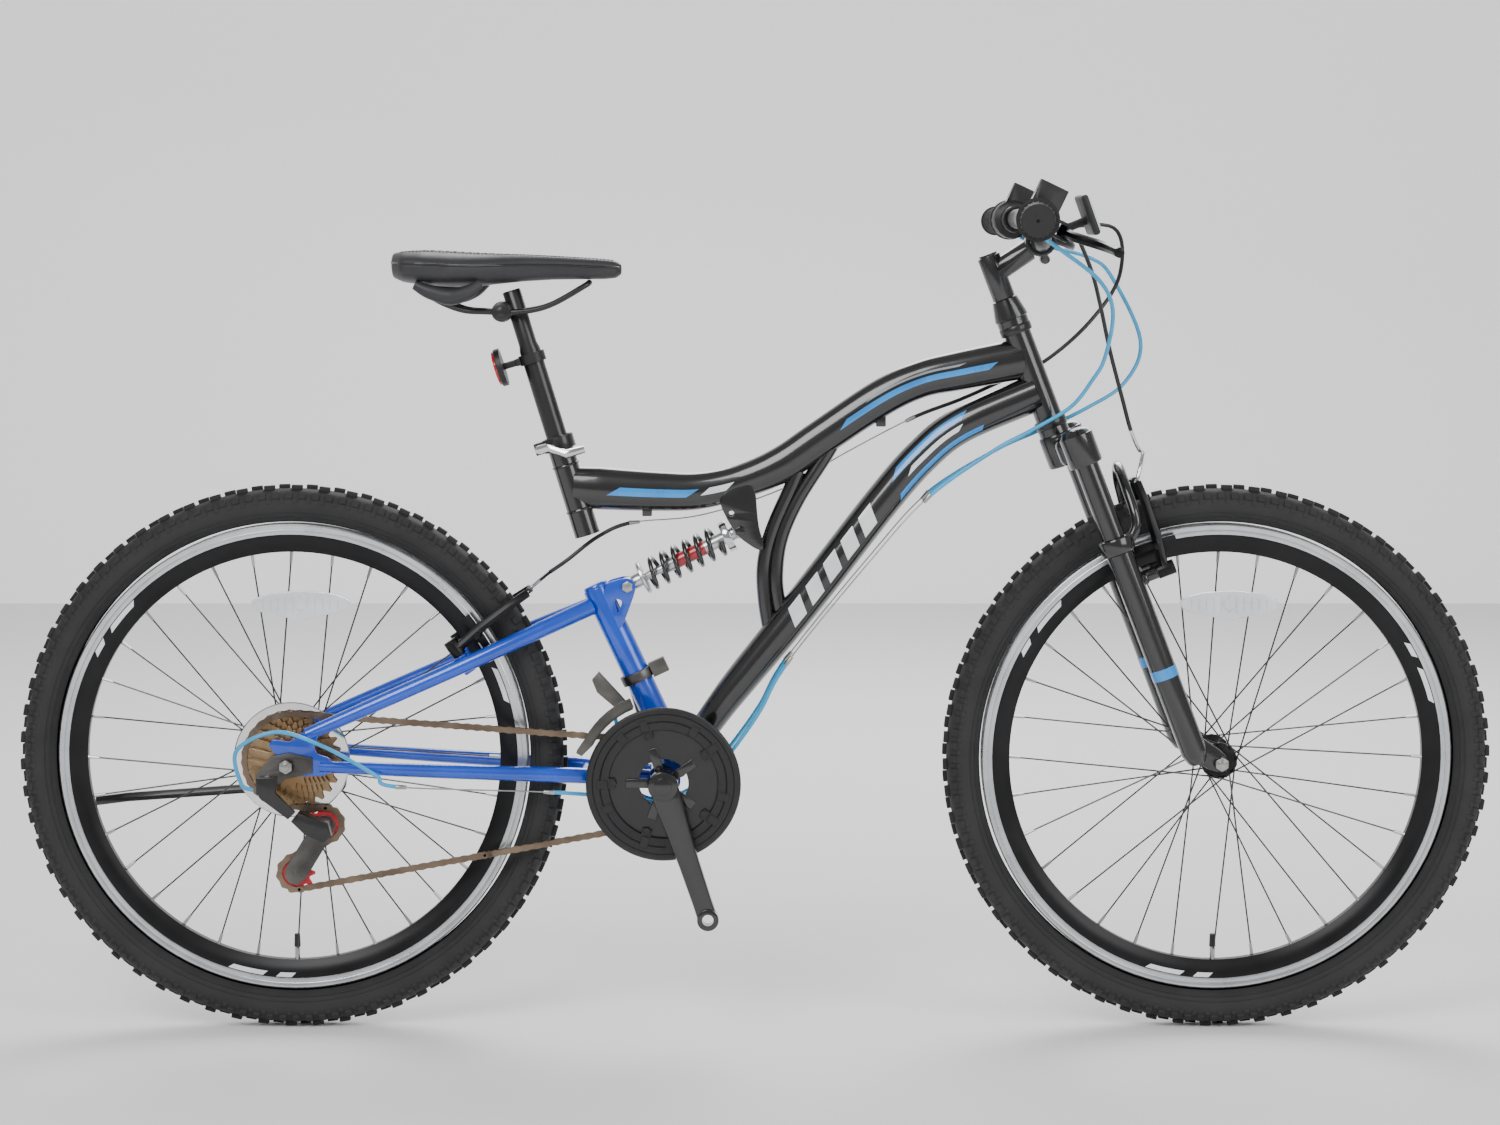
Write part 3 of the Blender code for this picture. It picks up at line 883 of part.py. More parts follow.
plate_mid = CHAIN_HALF_INSIDE + CHAIN_PLATE / 2
chain = [band(-plate_mid, CHAIN_PLATE / 2), band(plate_mid, CHAIN_PLATE / 2)]
top_start = Vector((BB.x + RING_R * math.cos(touches[0][0]), RING_Y, BB.z + RING_R * math.sin(touches[0][0])))
top_end = Vector((REAR_AXLE.x + COG_R * math.cos(touches[0][1]), CHAIN_Y, REAR_AXLE.z + COG_R * math.sin(touches[0][1])))
for share in (0.3, 0.5, 0.7):
    place = top_start.lerp(top_end, share)
    chain.append(cross_rod(place, place.y - 0.0030, place.y + 0.0030, 0.0020, 6))
node("chain", BRONZE, chain)

# ---- cables ------------------------------------------------------------------------------------
CABLE_R = 0.0025


def cable(name, finish, route, radius=CABLE_R, steps=2):
    node(name, finish, [tube(smooth(route, steps), radius, 6)])


cable("rear_brake_cable", CABLE_BLACK, [
    (0.3700, 0.1520, 0.9700), (0.4432, 0.1300, 0.9704), (0.4453, 0.0800, 0.9130), (0.4065, 0.0500, 0.8573),
    (0.3508, 0.0400, 0.8096), (0.2990, 0.0380, 0.7860), (0.2480, 0.0280, 0.7640), (0.1900, 0.0220, 0.7420),
    (0.1100, 0.0230, 0.7000), (0.0306, 0.0230, 0.6550), (-0.0661, 0.0240, 0.6240), (-0.1485, 0.0260, 0.6150),
    (-0.1900, 0.0250, 0.5980), (-0.2280, 0.0200, 0.5694), (-0.2480, 0.0120, 0.5560)])
cable("front_brake_cable", CABLE_BLACK, [
    (0.3700, -0.1500, 0.9640), (0.3920, -0.1100, 0.9200), (0.4070, -0.0700, 0.8778), (0.4205, -0.0500, 0.8262),
    (0.4373, -0.0400, 0.7673), (0.4479, -0.0350, 0.7310), (0.4590, -0.0200, 0.7080), (0.4660, -0.0080, 0.7020)])
cable("rear_shift_cable", CABLE_BLUE, [
    (0.3320, -0.1750, 0.9585), (0.3500, -0.1540, 0.9470), (0.4000, -0.1200, 0.9100), (0.4187, -0.0950, 0.8724),
    (0.4132, -0.0650, 0.8189), (0.3994, -0.0550, 0.7912), (0.3749, -0.0450, 0.7588), (0.3300, -0.0360, 0.7310),
    (0.2857, -0.0280, 0.7060), (0.2079, -0.0240, 0.6500), (0.1400, -0.0240, 0.5750), (0.0390, -0.0240, 0.4500),
    (0.0052, -0.0260, 0.3900), (-0.0300, -0.0290, 0.3400), (-0.0640, -0.0240, 0.2980), (-0.1100, -0.0240, 0.2790),
    (-0.1500, -0.0300, 0.2850), (-0.2451, -0.0480, 0.2960), (-0.4252, -0.0700, 0.3060), (-0.4500, -0.0780, 0.3200),
    (-0.4727, -0.0830, 0.3349),
    (-0.5180, -0.0880, 0.3601), (-0.5677, -0.1000, 0.3770), (-0.6145, -0.0980, 0.3547), (-0.6111, -0.0900, 0.3137),
    (-0.5978, -0.0870, 0.3050)])
cable("front_shift_cable", CABLE_BLUE, [
    (0.3320, 0.1750, 0.9585), (0.3620, 0.1560, 0.9480), (0.4165, 0.1400, 0.9330), (0.4412, 0.1200, 0.9084), (0.4717, 0.0800, 0.8337),
    (0.4507, 0.0560, 0.7838), (0.4000, 0.0370, 0.7520), (0.3428, 0.0300, 0.7260), (0.2900, 0.0270, 0.7020),
    (0.2079, 0.0240, 0.6500), (0.1400, 0.0240, 0.5750), (0.0390, 0.0240, 0.4500), (0.0052, 0.0260, 0.3900),
    (-0.0300, 0.0290, 0.3400), (-0.0640, 0.0240, 0.2980), (-0.1100, 0.0060, 0.2790), (-0.1450, 0.0, 0.2900),
    (-0.1600, 0.0, 0.3400), (-0.1720, -0.0040, 0.3900)])
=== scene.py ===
"""Full-suspension mountain bike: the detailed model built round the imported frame."""

import json
import math

import bpy
from mathutils import Matrix, Vector


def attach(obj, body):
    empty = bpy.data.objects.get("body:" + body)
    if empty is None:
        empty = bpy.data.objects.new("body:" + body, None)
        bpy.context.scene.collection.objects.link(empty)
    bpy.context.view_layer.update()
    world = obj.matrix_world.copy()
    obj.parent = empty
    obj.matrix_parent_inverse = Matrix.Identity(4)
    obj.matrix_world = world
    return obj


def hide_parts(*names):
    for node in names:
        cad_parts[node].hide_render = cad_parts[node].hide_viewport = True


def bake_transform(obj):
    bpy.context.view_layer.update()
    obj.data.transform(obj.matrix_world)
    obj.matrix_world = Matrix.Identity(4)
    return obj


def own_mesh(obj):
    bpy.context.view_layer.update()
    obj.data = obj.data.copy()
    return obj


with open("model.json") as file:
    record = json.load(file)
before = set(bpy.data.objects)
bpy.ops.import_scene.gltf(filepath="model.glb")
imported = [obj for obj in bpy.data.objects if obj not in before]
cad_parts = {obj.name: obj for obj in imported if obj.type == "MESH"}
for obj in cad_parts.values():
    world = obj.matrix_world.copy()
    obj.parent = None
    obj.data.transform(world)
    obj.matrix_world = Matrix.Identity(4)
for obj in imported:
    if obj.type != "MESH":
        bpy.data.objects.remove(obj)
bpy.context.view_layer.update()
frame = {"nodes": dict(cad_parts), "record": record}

bl_info = {
    "name": "Full-suspension mountain bike",
    "version": (1, 0, 0),
    "blender": (4, 5, 0),
    "location": "3D View > Sidebar > Mountain bike",
    "description": "Builds the tyres, frame, drivetrain, controls and saddle of a mountain bike",
    "category": "Object",
}

Y_AXIS = Vector((0, 1, 0))
REAR_AXLE, FRONT_AXLE = Vector((-0.559, 0, 0.332)), Vector((0.559, 0, 0.332))
BB, PIVOT = Vector((-0.1098, 0, 0.308)), Vector((-0.0697, 0, 0.3541))
HEAD_ANGLE, SEAT_ANGLE = math.radians(21), math.radians(17)
STEER_UP = Vector((-math.sin(HEAD_ANGLE), 0, math.cos(HEAD_ANGLE)))
STEER_AHEAD = Vector((math.cos(HEAD_ANGLE), 0, math.sin(HEAD_ANGLE)))
STEER_FOOT = FRONT_AXLE + 0.4478 * STEER_UP - 0.0445 * STEER_AHEAD
SEAT_UP = Vector((-math.sin(SEAT_ANGLE), 0, math.cos(SEAT_ANGLE)))
SEAT_AHEAD = Vector((math.cos(SEAT_ANGLE), 0, math.sin(SEAT_ANGLE)))
SEAT_FOOT = Vector((-0.2021, 0, 0.6023))
SHOCK_FRONT, SHOCK_REAR = Vector((-0.018, 0, 0.6078)), Vector((-0.1536, 0, 0.5408))
SHOCK_DIR = (SHOCK_FRONT - SHOCK_REAR).normalized()
GUIDE_PULLEY = REAR_AXLE + Vector((0.0401, 0, -0.0783))
TENSION_PULLEY = REAR_AXLE + Vector((0.0039, 0, -0.1375))
PITCH = 0.0127
SPROCKETS = (28, 24, 22, 20, 18, 16, 14)
SPROCKET_Y, SPROCKET_STEP = -0.031, 0.005
LEG_AHEAD, LEG_Y = 0.018, 0.065   # the fork legs, from the steering axis
STAY_R = 0.0095
BOSS_Y, BOSS_UP, BOSS_AHEAD = 0.0405, -0.206, 0.062   # the brake bosses, across and from the steering axis
BAR_INNER, BAR_OUTER = (0.321154, 0.2, 0.980477), (0.311, 0.32, 0.979)   # where a grip's straight runs
REAR_BOSS_REACH, REAR_BOSS_ANGLE = 0.242, math.radians(34)   # from the rear axle
CHAINRINGS = ((24, -0.0425), (34, -0.05), (42, -0.0575))


def steer(ahead, y, up):
    return STEER_FOOT + ahead * STEER_AHEAD + y * Y_AXIS + up * STEER_UP


def seat(ahead, y, up):
    return SEAT_FOOT + ahead * SEAT_AHEAD + y * Y_AXIS + up * SEAT_UP


def shock(s):
    return SHOCK_REAR + s * SHOCK_DIR


def pitch_radius(teeth):
    return PITCH / 2 / math.sin(math.pi / teeth)


# ---- materials ---------------------------------------------------------------------------------
def linear(hex_colour):
    """sRGB hex to linear RGBA."""
    parts = [int(hex_colour[k:k + 2], 16) / 255 for k in (1, 3, 5)]
    return tuple(c / 12.92 if c <= 0.04045 else ((c + 0.055) / 1.055) ** 2.4 for c in parts) + (1.0,)


def add(tree, kind, settings=(), links=()):
    """A node of that kind, with its settings, and links as (output socket, own input) pairs."""
    made = tree.nodes.new(kind)
    for name, value in dict(settings).items():
        if name in made.inputs:
            made.inputs[name].default_value = value
        else:
            setattr(made, name, value)
    for source, target in links:
        tree.links.new(source, made.inputs[target])
    return made


def finish_of(name, colour, roughness, metallic=0.0, coat=0.0, sheen=0.0, grain=0.0, grain_mm=1.0, wear=0.08,
              second=None):
    """A material whose colour and roughness vary a little, with a fine grain raised on it."""
    made = bpy.data.materials.new(name)
    made.use_nodes = True
    tree = made.node_tree
    shader = tree.nodes["Principled BSDF"]
    shader.inputs["Metallic"].default_value = metallic
    shader.inputs["Coat Weight"].default_value = coat
    shader.inputs["Coat Roughness"].default_value = 0.06
    shader.inputs["Sheen Weight"].default_value = sheen
    place = add(tree, "ShaderNodeTexCoord")
    cloud = add(tree, "ShaderNodeTexNoise", {"Scale": 22.0, "Detail": 5.0},
                [(place.outputs["Object"], "Vector")])
    rough = add(tree, "ShaderNodeMapRange", {"To Min": roughness * (1 - wear),
                                             "To Max": roughness * (1 + 3 * wear)},
                [(cloud.outputs["Fac"], "Value")])
    tree.links.new(rough.outputs["Result"], shader.inputs["Roughness"])
    base = linear(colour)
    other = linear(second) if second else tuple(0.8 * c for c in base[:3]) + (1.0,)
    blend = add(tree, "ShaderNodeValToRGB", (), [(cloud.outputs["Fac"], "Fac")])
    blend.color_ramp.elements[0].position, blend.color_ramp.elements[0].color = 0.35, other
    blend.color_ramp.elements[1].position, blend.color_ramp.elements[1].color = 0.65, base
    tree.links.new(blend.outputs["Color"], shader.inputs["Base Color"])
    if grain:
        fine = add(tree, "ShaderNodeTexNoise", {"Scale": 1000.0 / grain_mm, "Detail": 2.0},
                   [(place.outputs["Object"], "Vector")])
        bump = add(tree, "ShaderNodeBump", {"Strength": grain, "Distance": 0.0003},
                   [(fine.outputs["Fac"], "Height")])
        tree.links.new(bump.outputs["Normal"], shader.inputs["Normal"])
    return made


def make_materials():
    """Every finish of the bike, by its record slot or its own name."""
    return {
        # baked gloss enamel under a clear coat: deep black with sharp highlights
        "black_enamel": finish_of("black_enamel", "#141416", 0.22, coat=0.8, second="#0c0c0e"),
        # metallic blue enamel: bright blue with a soft sparkle
        "blue_enamel": finish_of("blue_enamel", "#0B4CCB", 0.24, metallic=0.15, coat=0.9,
                                 second="#0A44B8", grain=0.05),
        # vulcanised tyre rubber: matt charcoal with a fine moulded skin
        "tyre_rubber": finish_of("tyre_rubber", "#2A2A2A", 0.72, grain=0.5, grain_mm=1.5, second="#202020"),
        # kraton grip rubber: soft matt black
        "grip_rubber": finish_of("grip_rubber", "#1C1C1D", 0.65, grain=0.4, grain_mm=1.0),
        # moulded ABS: satin black with a fine texture
        "black_abs": finish_of("black_abs", "#1A1A1C", 0.42, grain=0.25, grain_mm=0.8),
        # clear acrylic reflector: bright and hard, over a prism back
        "clear_reflector": finish_of("clear_reflector", "#E9ECEE", 0.12, coat=0.6, second="#D5DADE"),
        # red acrylic reflector
        "red_reflector": finish_of("red_reflector", "#C3121C", 0.15, coat=0.6, second="#A00D16"),
        # red nylon pulley
        "red_nylon": finish_of("red_nylon", "#C8202F", 0.38),
        # zinc-plated steel: bright grey with faint clouds
        "zinc_plate": finish_of("zinc_plate", "#B9B9B6", 0.3, metallic=1.0, second="#9C9C98"),
        # chrome plate: mirror bright
        "chrome_plate": finish_of("chrome_plate", "#E2E2E2", 0.08, metallic=1.0, second="#D0D0D0"),
        # oiled chain steel: brown-grey
        "oiled_steel": finish_of("oiled_steel", "#8A7867", 0.34, metallic=0.9, second="#6A5B4D"),
        # bronze-tinted freewheel steel
        "bronze_steel": finish_of("bronze_steel", "#A58C6C", 0.32, metallic=0.9, second="#85694A"),
        # machined aluminium: fine turned lines catch the light
        "machined_aluminium": finish_of("machined_aluminium", "#D4D6D8", 0.26, metallic=1.0, second="#BFC1C4",
                                        grain=0.15, grain_mm=1.0),
        # black anodised aluminium
        "black_anodised": finish_of("black_anodised", "#19191B", 0.32, metallic=0.5, second="#101012"),
        # dark zinc-plated stampings
        "dark_zinc": finish_of("dark_zinc", "#6E6C69", 0.36, metallic=1.0, second="#514F4D"),
        # painted black steel
        "black_steel": finish_of("black_steel", "#161617", 0.34, coat=0.3, second="#0E0E0F"),
        # saddle vinyl: pebbled, slightly shiny dark grey
        "saddle_vinyl": finish_of("saddle_vinyl", "#2E2E30", 0.46, grain=0.6, grain_mm=1.6, second="#27272A"),
        # gloss piping and panels on the saddle
        "gloss_vinyl": finish_of("gloss_vinyl", "#151517", 0.22, coat=0.4),
        # extruded cable housing
        "black_housing": finish_of("black_housing", "#17171A", 0.35, coat=0.2),
        "blue_housing": finish_of("blue_housing", "#2FA8DC", 0.32, coat=0.3, second="#2598CC"),
        # printed decals under the clear coat
        "blue_decal": finish_of("blue_decal", "#1E90E0", 0.25, coat=0.8, second="#1A80CC"),
        "white_decal": finish_of("white_decal", "#ECEEF0", 0.28, coat=0.8, second="#DDE0E3"),
        "grey_decal": finish_of("grey_decal", "#8C9298", 0.3, coat=0.8),
        "red_decal": finish_of("red_decal", "#C01822", 0.3, coat=0.8),
    }


# ---- modelling tools ---------------------------------------------------------------------------
def clear_selection():
    if bpy.context.object and bpy.context.object.mode != "OBJECT":
        bpy.ops.object.mode_set(mode="OBJECT")
    bpy.ops.object.select_all(action="DESELECT")


def only(obj):
    clear_selection()
    obj.select_set(True)
    bpy.context.view_layer.objects.active = obj
    return obj


def from_points(points, edges=(), faces=()):
    mesh = bpy.data.meshes.new("piece")
    mesh.from_pydata([tuple(p) for p in points], list(edges), list(faces))
    made = bpy.data.objects.new("piece", mesh)
    bpy.context.scene.collection.objects.link(made)
    return only(made)


def settle(obj):
    """Puts the piece's place in its mesh."""
    only(obj)
    bpy.ops.object.transform_apply(location=True, rotation=True, scale=True)
    return obj


def face_out(obj, merge=0.000002):
    only(obj)
    bpy.ops.object.mode_set(mode="EDIT")
    bpy.ops.mesh.select_all(action="SELECT")
    bpy.ops.mesh.remove_doubles(threshold=merge)
    bpy.ops.mesh.normals_make_consistent(inside=False)
    bpy.ops.object.mode_set(mode="OBJECT")
    return obj


def bevelled(obj, width, segments=2, angle=35):
    only(obj)
    edge = obj.modifiers.new("edge", "BEVEL")
    edge.width, edge.segments, edge.angle_limit = width, segments, math.radians(angle)
    edge.limit_method = "ANGLE"
    bpy.ops.object.modifier_apply(modifier="edge")
    return obj


def join(objs):
    objs = list(objs)
    clear_selection()
    for obj in objs:
        obj.select_set(True)
    bpy.context.view_layer.objects.active = objs[0]
    if len(objs) > 1:
        bpy.ops.object.join()
    return objs[0]


def axes(x, z):
    x = Vector(x).normalized()
    y = Vector(z).cross(x).normalized()
    return Matrix((x, y, x.cross(y))).transposed()


def rod(start, end, radius, sides=32, end_radius=None, bevel=0.0006):
    start, end = Vector(start), Vector(end)
    clear_selection()
    turn = (end - start).to_track_quat("Z", "Y").to_euler()
    bpy.ops.mesh.primitive_cone_add(vertices=sides, radius1=radius, depth=(end - start).length,
                                    radius2=radius if end_radius is None else end_radius,
                                    location=(start + end) / 2, rotation=turn)
    made = settle(bpy.context.object)
    return bevelled(made, bevel, 2) if bevel else made


def cross_rod(centre, y_from, y_to, radius, sides=32, bevel=0.0006):
    return rod((centre[0], y_from, centre[2]), (centre[0], y_to, centre[2]), radius, sides, None, bevel)


def block(centre, size, turn=None, bevel=0.0015):
    clear_selection()
    bpy.ops.mesh.primitive_cube_add(size=1, location=(0, 0, 0))
    made = bpy.context.object
    made.data.transform(Matrix.Diagonal((*size, 1)))
    bevelled(made, bevel, 3)
    made.data.transform(Matrix.Translation(Vector(centre)) @ (turn or Matrix.Identity(3)).to_4x4())
    return made


def smooth(points, steps=8):
    """A Catmull-Rom curve through the points."""
    points = [Vector(p) for p in points]
    ends = [2 * points[0] - points[1], *points, 2 * points[-1] - points[-2]]
    found = []
    for a, b, c, d in zip(ends, ends[1:], ends[2:], ends[3:]):
        for k in range(steps):
            t = k / steps
            found.append(0.5 * (2 * b + (c - a) * t + (2 * a - 5 * b + 4 * c - d) * t * t
                                + (3 * b - a - 3 * c + d) * t ** 3))
    return [*found, points[-1]]


def spread(values, steps=8):
    """One value per point of smooth(): straight between the given ones."""
    found = []
    for a, b in zip(values, values[1:]):
        found += [a + (b - a) * k / steps for k in range(steps)]
    return [*found, values[-1]]


def pipe(points, radius, shares=None, sides=24, caps=True, cyclic=False):
    """A round tube along the points."""
    curve = bpy.data.curves.new("piece", "CURVE")
    curve.dimensions = "3D"
    curve.bevel_depth = radius
    curve.bevel_resolution = (sides - 4) // 2
    curve.use_fill_caps = caps
    spline = curve.splines.new("POLY")
    spline.points.add(len(points) - 1)
    for k, point in enumerate(points):
        spline.points[k].co = (*Vector(point), 1)
        if shares:
            spline.points[k].radius = shares[k]
    spline.use_cyclic_u = cyclic
    made = bpy.data.objects.new("piece", curve)
    bpy.context.scene.collection.objects.link(made)
    only(made)
    bpy.ops.object.convert(target="MESH")
    return face_out(bpy.context.object)


def lathe(profile, centre, axis=Y_AXIS, steps=64, closed=True):
    """profile, (radius, along) pairs, spun about an axis through centre. closed joins its two ends."""
    axis = Vector(axis).normalized()
    across = axis.cross(Vector((0, 0, 1)) if abs(axis.z) < 0.9 else Vector((1, 0, 0))).normalized()
    points = [Vector(centre) + r * across + along * axis for r, along in profile]
    count = len(points)
    made = from_points(points, [(k, (k + 1) % count) for k in range(count if closed else count - 1)])
    bpy.ops.object.mode_set(mode="EDIT")
    bpy.ops.mesh.select_all(action="SELECT")
    bpy.ops.mesh.spin(steps=steps, angle=math.tau, center=tuple(centre), axis=tuple(axis))
    bpy.ops.object.mode_set(mode="OBJECT")
    return face_out(made, 0.00001)


def plate(outline, y_from, y_to, bevel=0.0005, holes=()):
    """A flat plate in the XZ plane with its edges rounded."""
    curve = bpy.data.curves.new("piece", "CURVE")
    curve.dimensions = "2D"
    curve.fill_mode = "BOTH"
    curve.extrude = abs(y_to - y_from) / 2 - bevel
    curve.bevel_depth, curve.bevel_resolution, curve.offset = bevel, 1, -bevel
    for loop in (outline, *holes):
        spline = curve.splines.new("POLY")
        spline.points.add(len(loop) - 1)
        for k, (x, z) in enumerate(loop):
            spline.points[k].co = (x, z, 0, 1)
        spline.use_cyclic_u = True
    made = bpy.data.objects.new("piece", curve)
    bpy.context.scene.collection.objects.link(made)
    only(made)
    bpy.ops.object.convert(target="MESH")
    made = bpy.context.object
    made.data.transform(Matrix.Translation((0, (y_from + y_to) / 2, 0))
                        @ Matrix.Rotation(math.pi / 2, 4, "X"))
    return face_out(made)


def round_points(centre, radius, count, start=0.0, sweep=math.tau):
    last = count if sweep == math.tau else count - 1
    return [(centre[0] + radius * math.cos(start + sweep * k / last),
             centre[2] + radius * math.sin(start + sweep * k / last)) for k in range(count)]


def rounded_outline(points, passes=2):
    """The outline with its corners cut back and softened."""
    for _ in range(passes):
        cut = []
        for (x0, z0), (x1, z1) in zip(points, [*points[1:], points[0]]):
            cut += [(0.8 * x0 + 0.2 * x1, 0.8 * z0 + 0.2 * z1), (0.2 * x0 + 0.8 * x1, 0.2 * z0 + 0.8 * z1)]
        points = cut
    return points


def about_y(centre, angle):
    """The turn about a line along Y, anticlockwise as seen from the drive side."""
    return Matrix.Translation(centre) @ Matrix.Rotation(-angle, 4, "Y") @ Matrix.Translation(-Vector(centre))


def repeated(obj, places):
    """One copy of the piece for each place, each with its own mesh, joined."""
    made = []
    for place in places:
        copy = obj.copy()
        copy.data = obj.data.copy()
        copy.data.transform(place)
        bpy.context.scene.collection.objects.link(copy)
        made.append(copy)
    bpy.data.objects.remove(obj, do_unlink=True)
    return join(made)


def done(obj, name, body, material, replaces=(), angle=35):
    """Names the piece, shades it, gives it its finish and puts it on its body."""
    only(obj)
    obj.name = obj.data.name = name
    obj.data.materials.clear()
    obj.data.materials.append(MATERIALS[material])
    bpy.ops.object.shade_smooth_by_angle(angle=math.radians(angle))
    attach(obj, body)
    if replaces:
        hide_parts(*replaces)
    return obj


MATERIALS = {}
BODY_OF = {node: body for body, nodes in frame["record"]["behaviour"]["bodies"].items() for node in nodes}
CARRIED = {
    "bottom_bracket": "black_steel", "brake_bracket_left": "black_abs", "brake_bracket_right": "black_abs",
    "derailleur_cage": "dark_zinc", "derailleur_hanger": "dark_zinc", "derailleur_knuckle": "black_steel",
    "derailleur_links": "black_steel", "front_axle": "zinc_plate", "front_brake_arm_left": "black_anodised",
    "front_brake_arm_right": "black_anodised", "front_derailleur_cage": "dark_zinc",
    "front_derailleur_clamp": "dark_zinc", "kickstand_leg": "black_steel", "rear_axle": "zinc_plate",
    "rear_brake_arm_left": "black_anodised", "rear_brake_arm_right": "black_anodised",
    "seat_clamp_collar": "black_steel", "seat_clamp_lever": "chrome_plate", "stem": "black_enamel",
    "brake_lever_left": "black_anodised", "brake_lever_right": "black_anodised",
    "front_hub": "black_anodised",
    "fork_crown": "black_enamel",
}


def carried(node):
    """A CAD piece whose shape is right: a merged copy with softened edges and its real finish."""
    source = frame["nodes"][node]
    made = source.copy()
    made.data = source.data.copy()
    made.parent = None
    made.matrix_world = Matrix.Identity(4)
    bpy.context.scene.collection.objects.link(made)
    face_out(made, 0.00002)
    bevelled(made, 0.0005, 2, 40)
    return done(made, f"{node}_finished", BODY_OF[node], CARRIED[node], (node,), 40)


# ---- sizes and colours a user may change -------------------------------------------------------
class WheelSizes(bpy.types.PropertyGroup):
    """Sizes of both wheels."""

    tyre_radius: bpy.props.FloatProperty(name="Tyre radius", description="Outside radius over the knobs",
                                         default=0.332, min=0.3, max=0.335, subtype="DISTANCE")
    tyre_half: bpy.props.FloatProperty(name="Tyre half width", description="Half of the tyre's width",
                                       default=0.026, min=0.02, max=0.027, subtype="DISTANCE")
    spoke_radius: bpy.props.FloatProperty(name="Spoke radius", description="Radius of a spoke's wire",
                                          default=0.001, min=0.0008, max=0.0012, subtype="DISTANCE")
    knobs: bpy.props.IntProperty(name="Side knobs", description="Knobs round each shoulder",
                                 default=124, min=60, max=140)


class CableSizes(bpy.types.PropertyGroup):
    """Sizes of the cables."""

    housing_radius: bpy.props.FloatProperty(name="Housing radius", description="Radius of the cable housings",
                                            default=0.0025, min=0.002, max=0.003, subtype="DISTANCE")


class StageColours(bpy.types.PropertyGroup):
    """Colours of the plain stage."""

    floor: bpy.props.FloatVectorProperty(name="Floor", description="Colour of the floor",
                                         subtype="COLOR", size=3,
                                         default=linear("#F2F2F2")[:3], min=0, max=1)


# ---- wheels ------------------------------------------------------------------------------------
def tyre(prefix, centre, body, sizes):
    """The casing with its moulded knobs: tall blocks on the shoulders, pairs of wide blocks in the middle."""
    r, half = sizes.tyre_radius, sizes.tyre_half
    floor_r = r - 0.0055
    side = [(0.2872, 0.0102), (0.2905, 0.015), (0.2955, 0.0205), (0.302, 0.0242), (0.309, 0.025),
            (0.315, 0.0238),
            (0.3205, 0.0205), (0.3243, 0.0145), (floor_r, 0.007)]
    inner = [(0.3205, 0.0), (0.315, 0.015), (0.305, 0.0215), (0.296, 0.0165), (0.289, 0.0085)]
    profile = side + [(floor_r + 0.0004, 0.0)] + [(a, -y) for a, y in reversed(side)]
    profile += [(a, -y) for a, y in reversed(inner)] + inner[1:]
    casing = lathe(profile, centre, steps=128)
    pieces = [casing]
    count = sizes.knobs
    for sign in (-1, 1):
        knob = block((0, 0, 0), (0.0085, 0.0078, 0.01), None, 0.0008)
        knob.data.transform(Matrix.Rotation(sign * 0.75, 4, "X"))
        knob.data.transform(Matrix.Translation(centre + Vector((0, sign * (half - 0.0062), 0.3182))))
        pieces.append(repeated(knob, [about_y(centre, math.tau * k / count) for k in range(count)]))
        low = block((0, 0, 0), (0.006, 0.003, 0.005), None, 0.0006)
        low.data.transform(Matrix.Translation(centre + Vector((0, sign * (half - 0.0022), 0.3125))))
        pieces.append(repeated(low, [about_y(centre, math.tau * (k + 0.5) / count) for k in range(count)]))
        middle = block((0, 0, 0), (0.013, 0.0085, 0.006), None, 0.0008)
        middle.data.transform(Matrix.Translation(centre + Vector((0, sign * 0.0062, r - 0.0037))))
        places = [about_y(centre, math.tau * (k + 0.25 * sign) / (count // 2)) for k in range(count // 2)]
        pieces.append(repeated(middle, places))
    for level in (0.299, 0.2935):
        for sign in (-1, 1):
            y = sign * (0.0228 if level > 0.295 else 0.0188)
            ring = [(level + 0.0006 * math.cos(a), y + 0.0006 * math.sin(a)) for a in (0, 1.57, 3.14, 4.71)]
            pieces.append(lathe(ring, centre, steps=128))
    done(join(pieces), f"{prefix}_tyre_knobbed", body, "tyre_rubber", (f"{prefix}_tyre",), 40)


def rim(prefix, centre, body):
    """A double-wall rim: black box section, silver brake tracks, printed blocks on its sides."""
    section = [(0.2715, 0.0125), (0.264, 0.012), (0.256, 0.0085), (0.2502, 0.005)]
    section += [(a, -y) for a, y in reversed(section)] + [(0.272, -0.01), (0.272, 0.01)]
    done(lathe(section, centre, steps=128), f"{prefix}_rim_box", body, "black_anodised",
         (f"{prefix}_rim",), 30)
    tracks = []
    for sign in (-1, 1):
        track = [(0.283, 0.0132), (0.2845, 0.0122), (0.2845, 0.0108), (0.2718, 0.0108), (0.2718, 0.0128),
                 (0.2728, 0.0131), (0.277, 0.0131), (0.2775, 0.0128), (0.278, 0.0131)]
        tracks.append(lathe([(a, sign * y) for a, y in track], centre, steps=128))
    tracks.append(lathe([(0.276, 0.011), (0.274, 0.011), (0.274, -0.011), (0.276, -0.011)], centre, steps=96))
    done(join(tracks), f"{prefix}_rim_tracks", body, "machined_aluminium", (), 30)
    blocks = []
    for sign in (-1, 1):
        for start, sweep in ((0.25, 0.16), (0.47, 0.07), (2.35, 0.16), (2.57, 0.07), (4.4, 0.16),
                             (4.62, 0.07)):
            blocks.append(rim_block(centre, sign, start, sweep))
    done(join(blocks), f"{prefix}_rim_print", body, "white_decal")


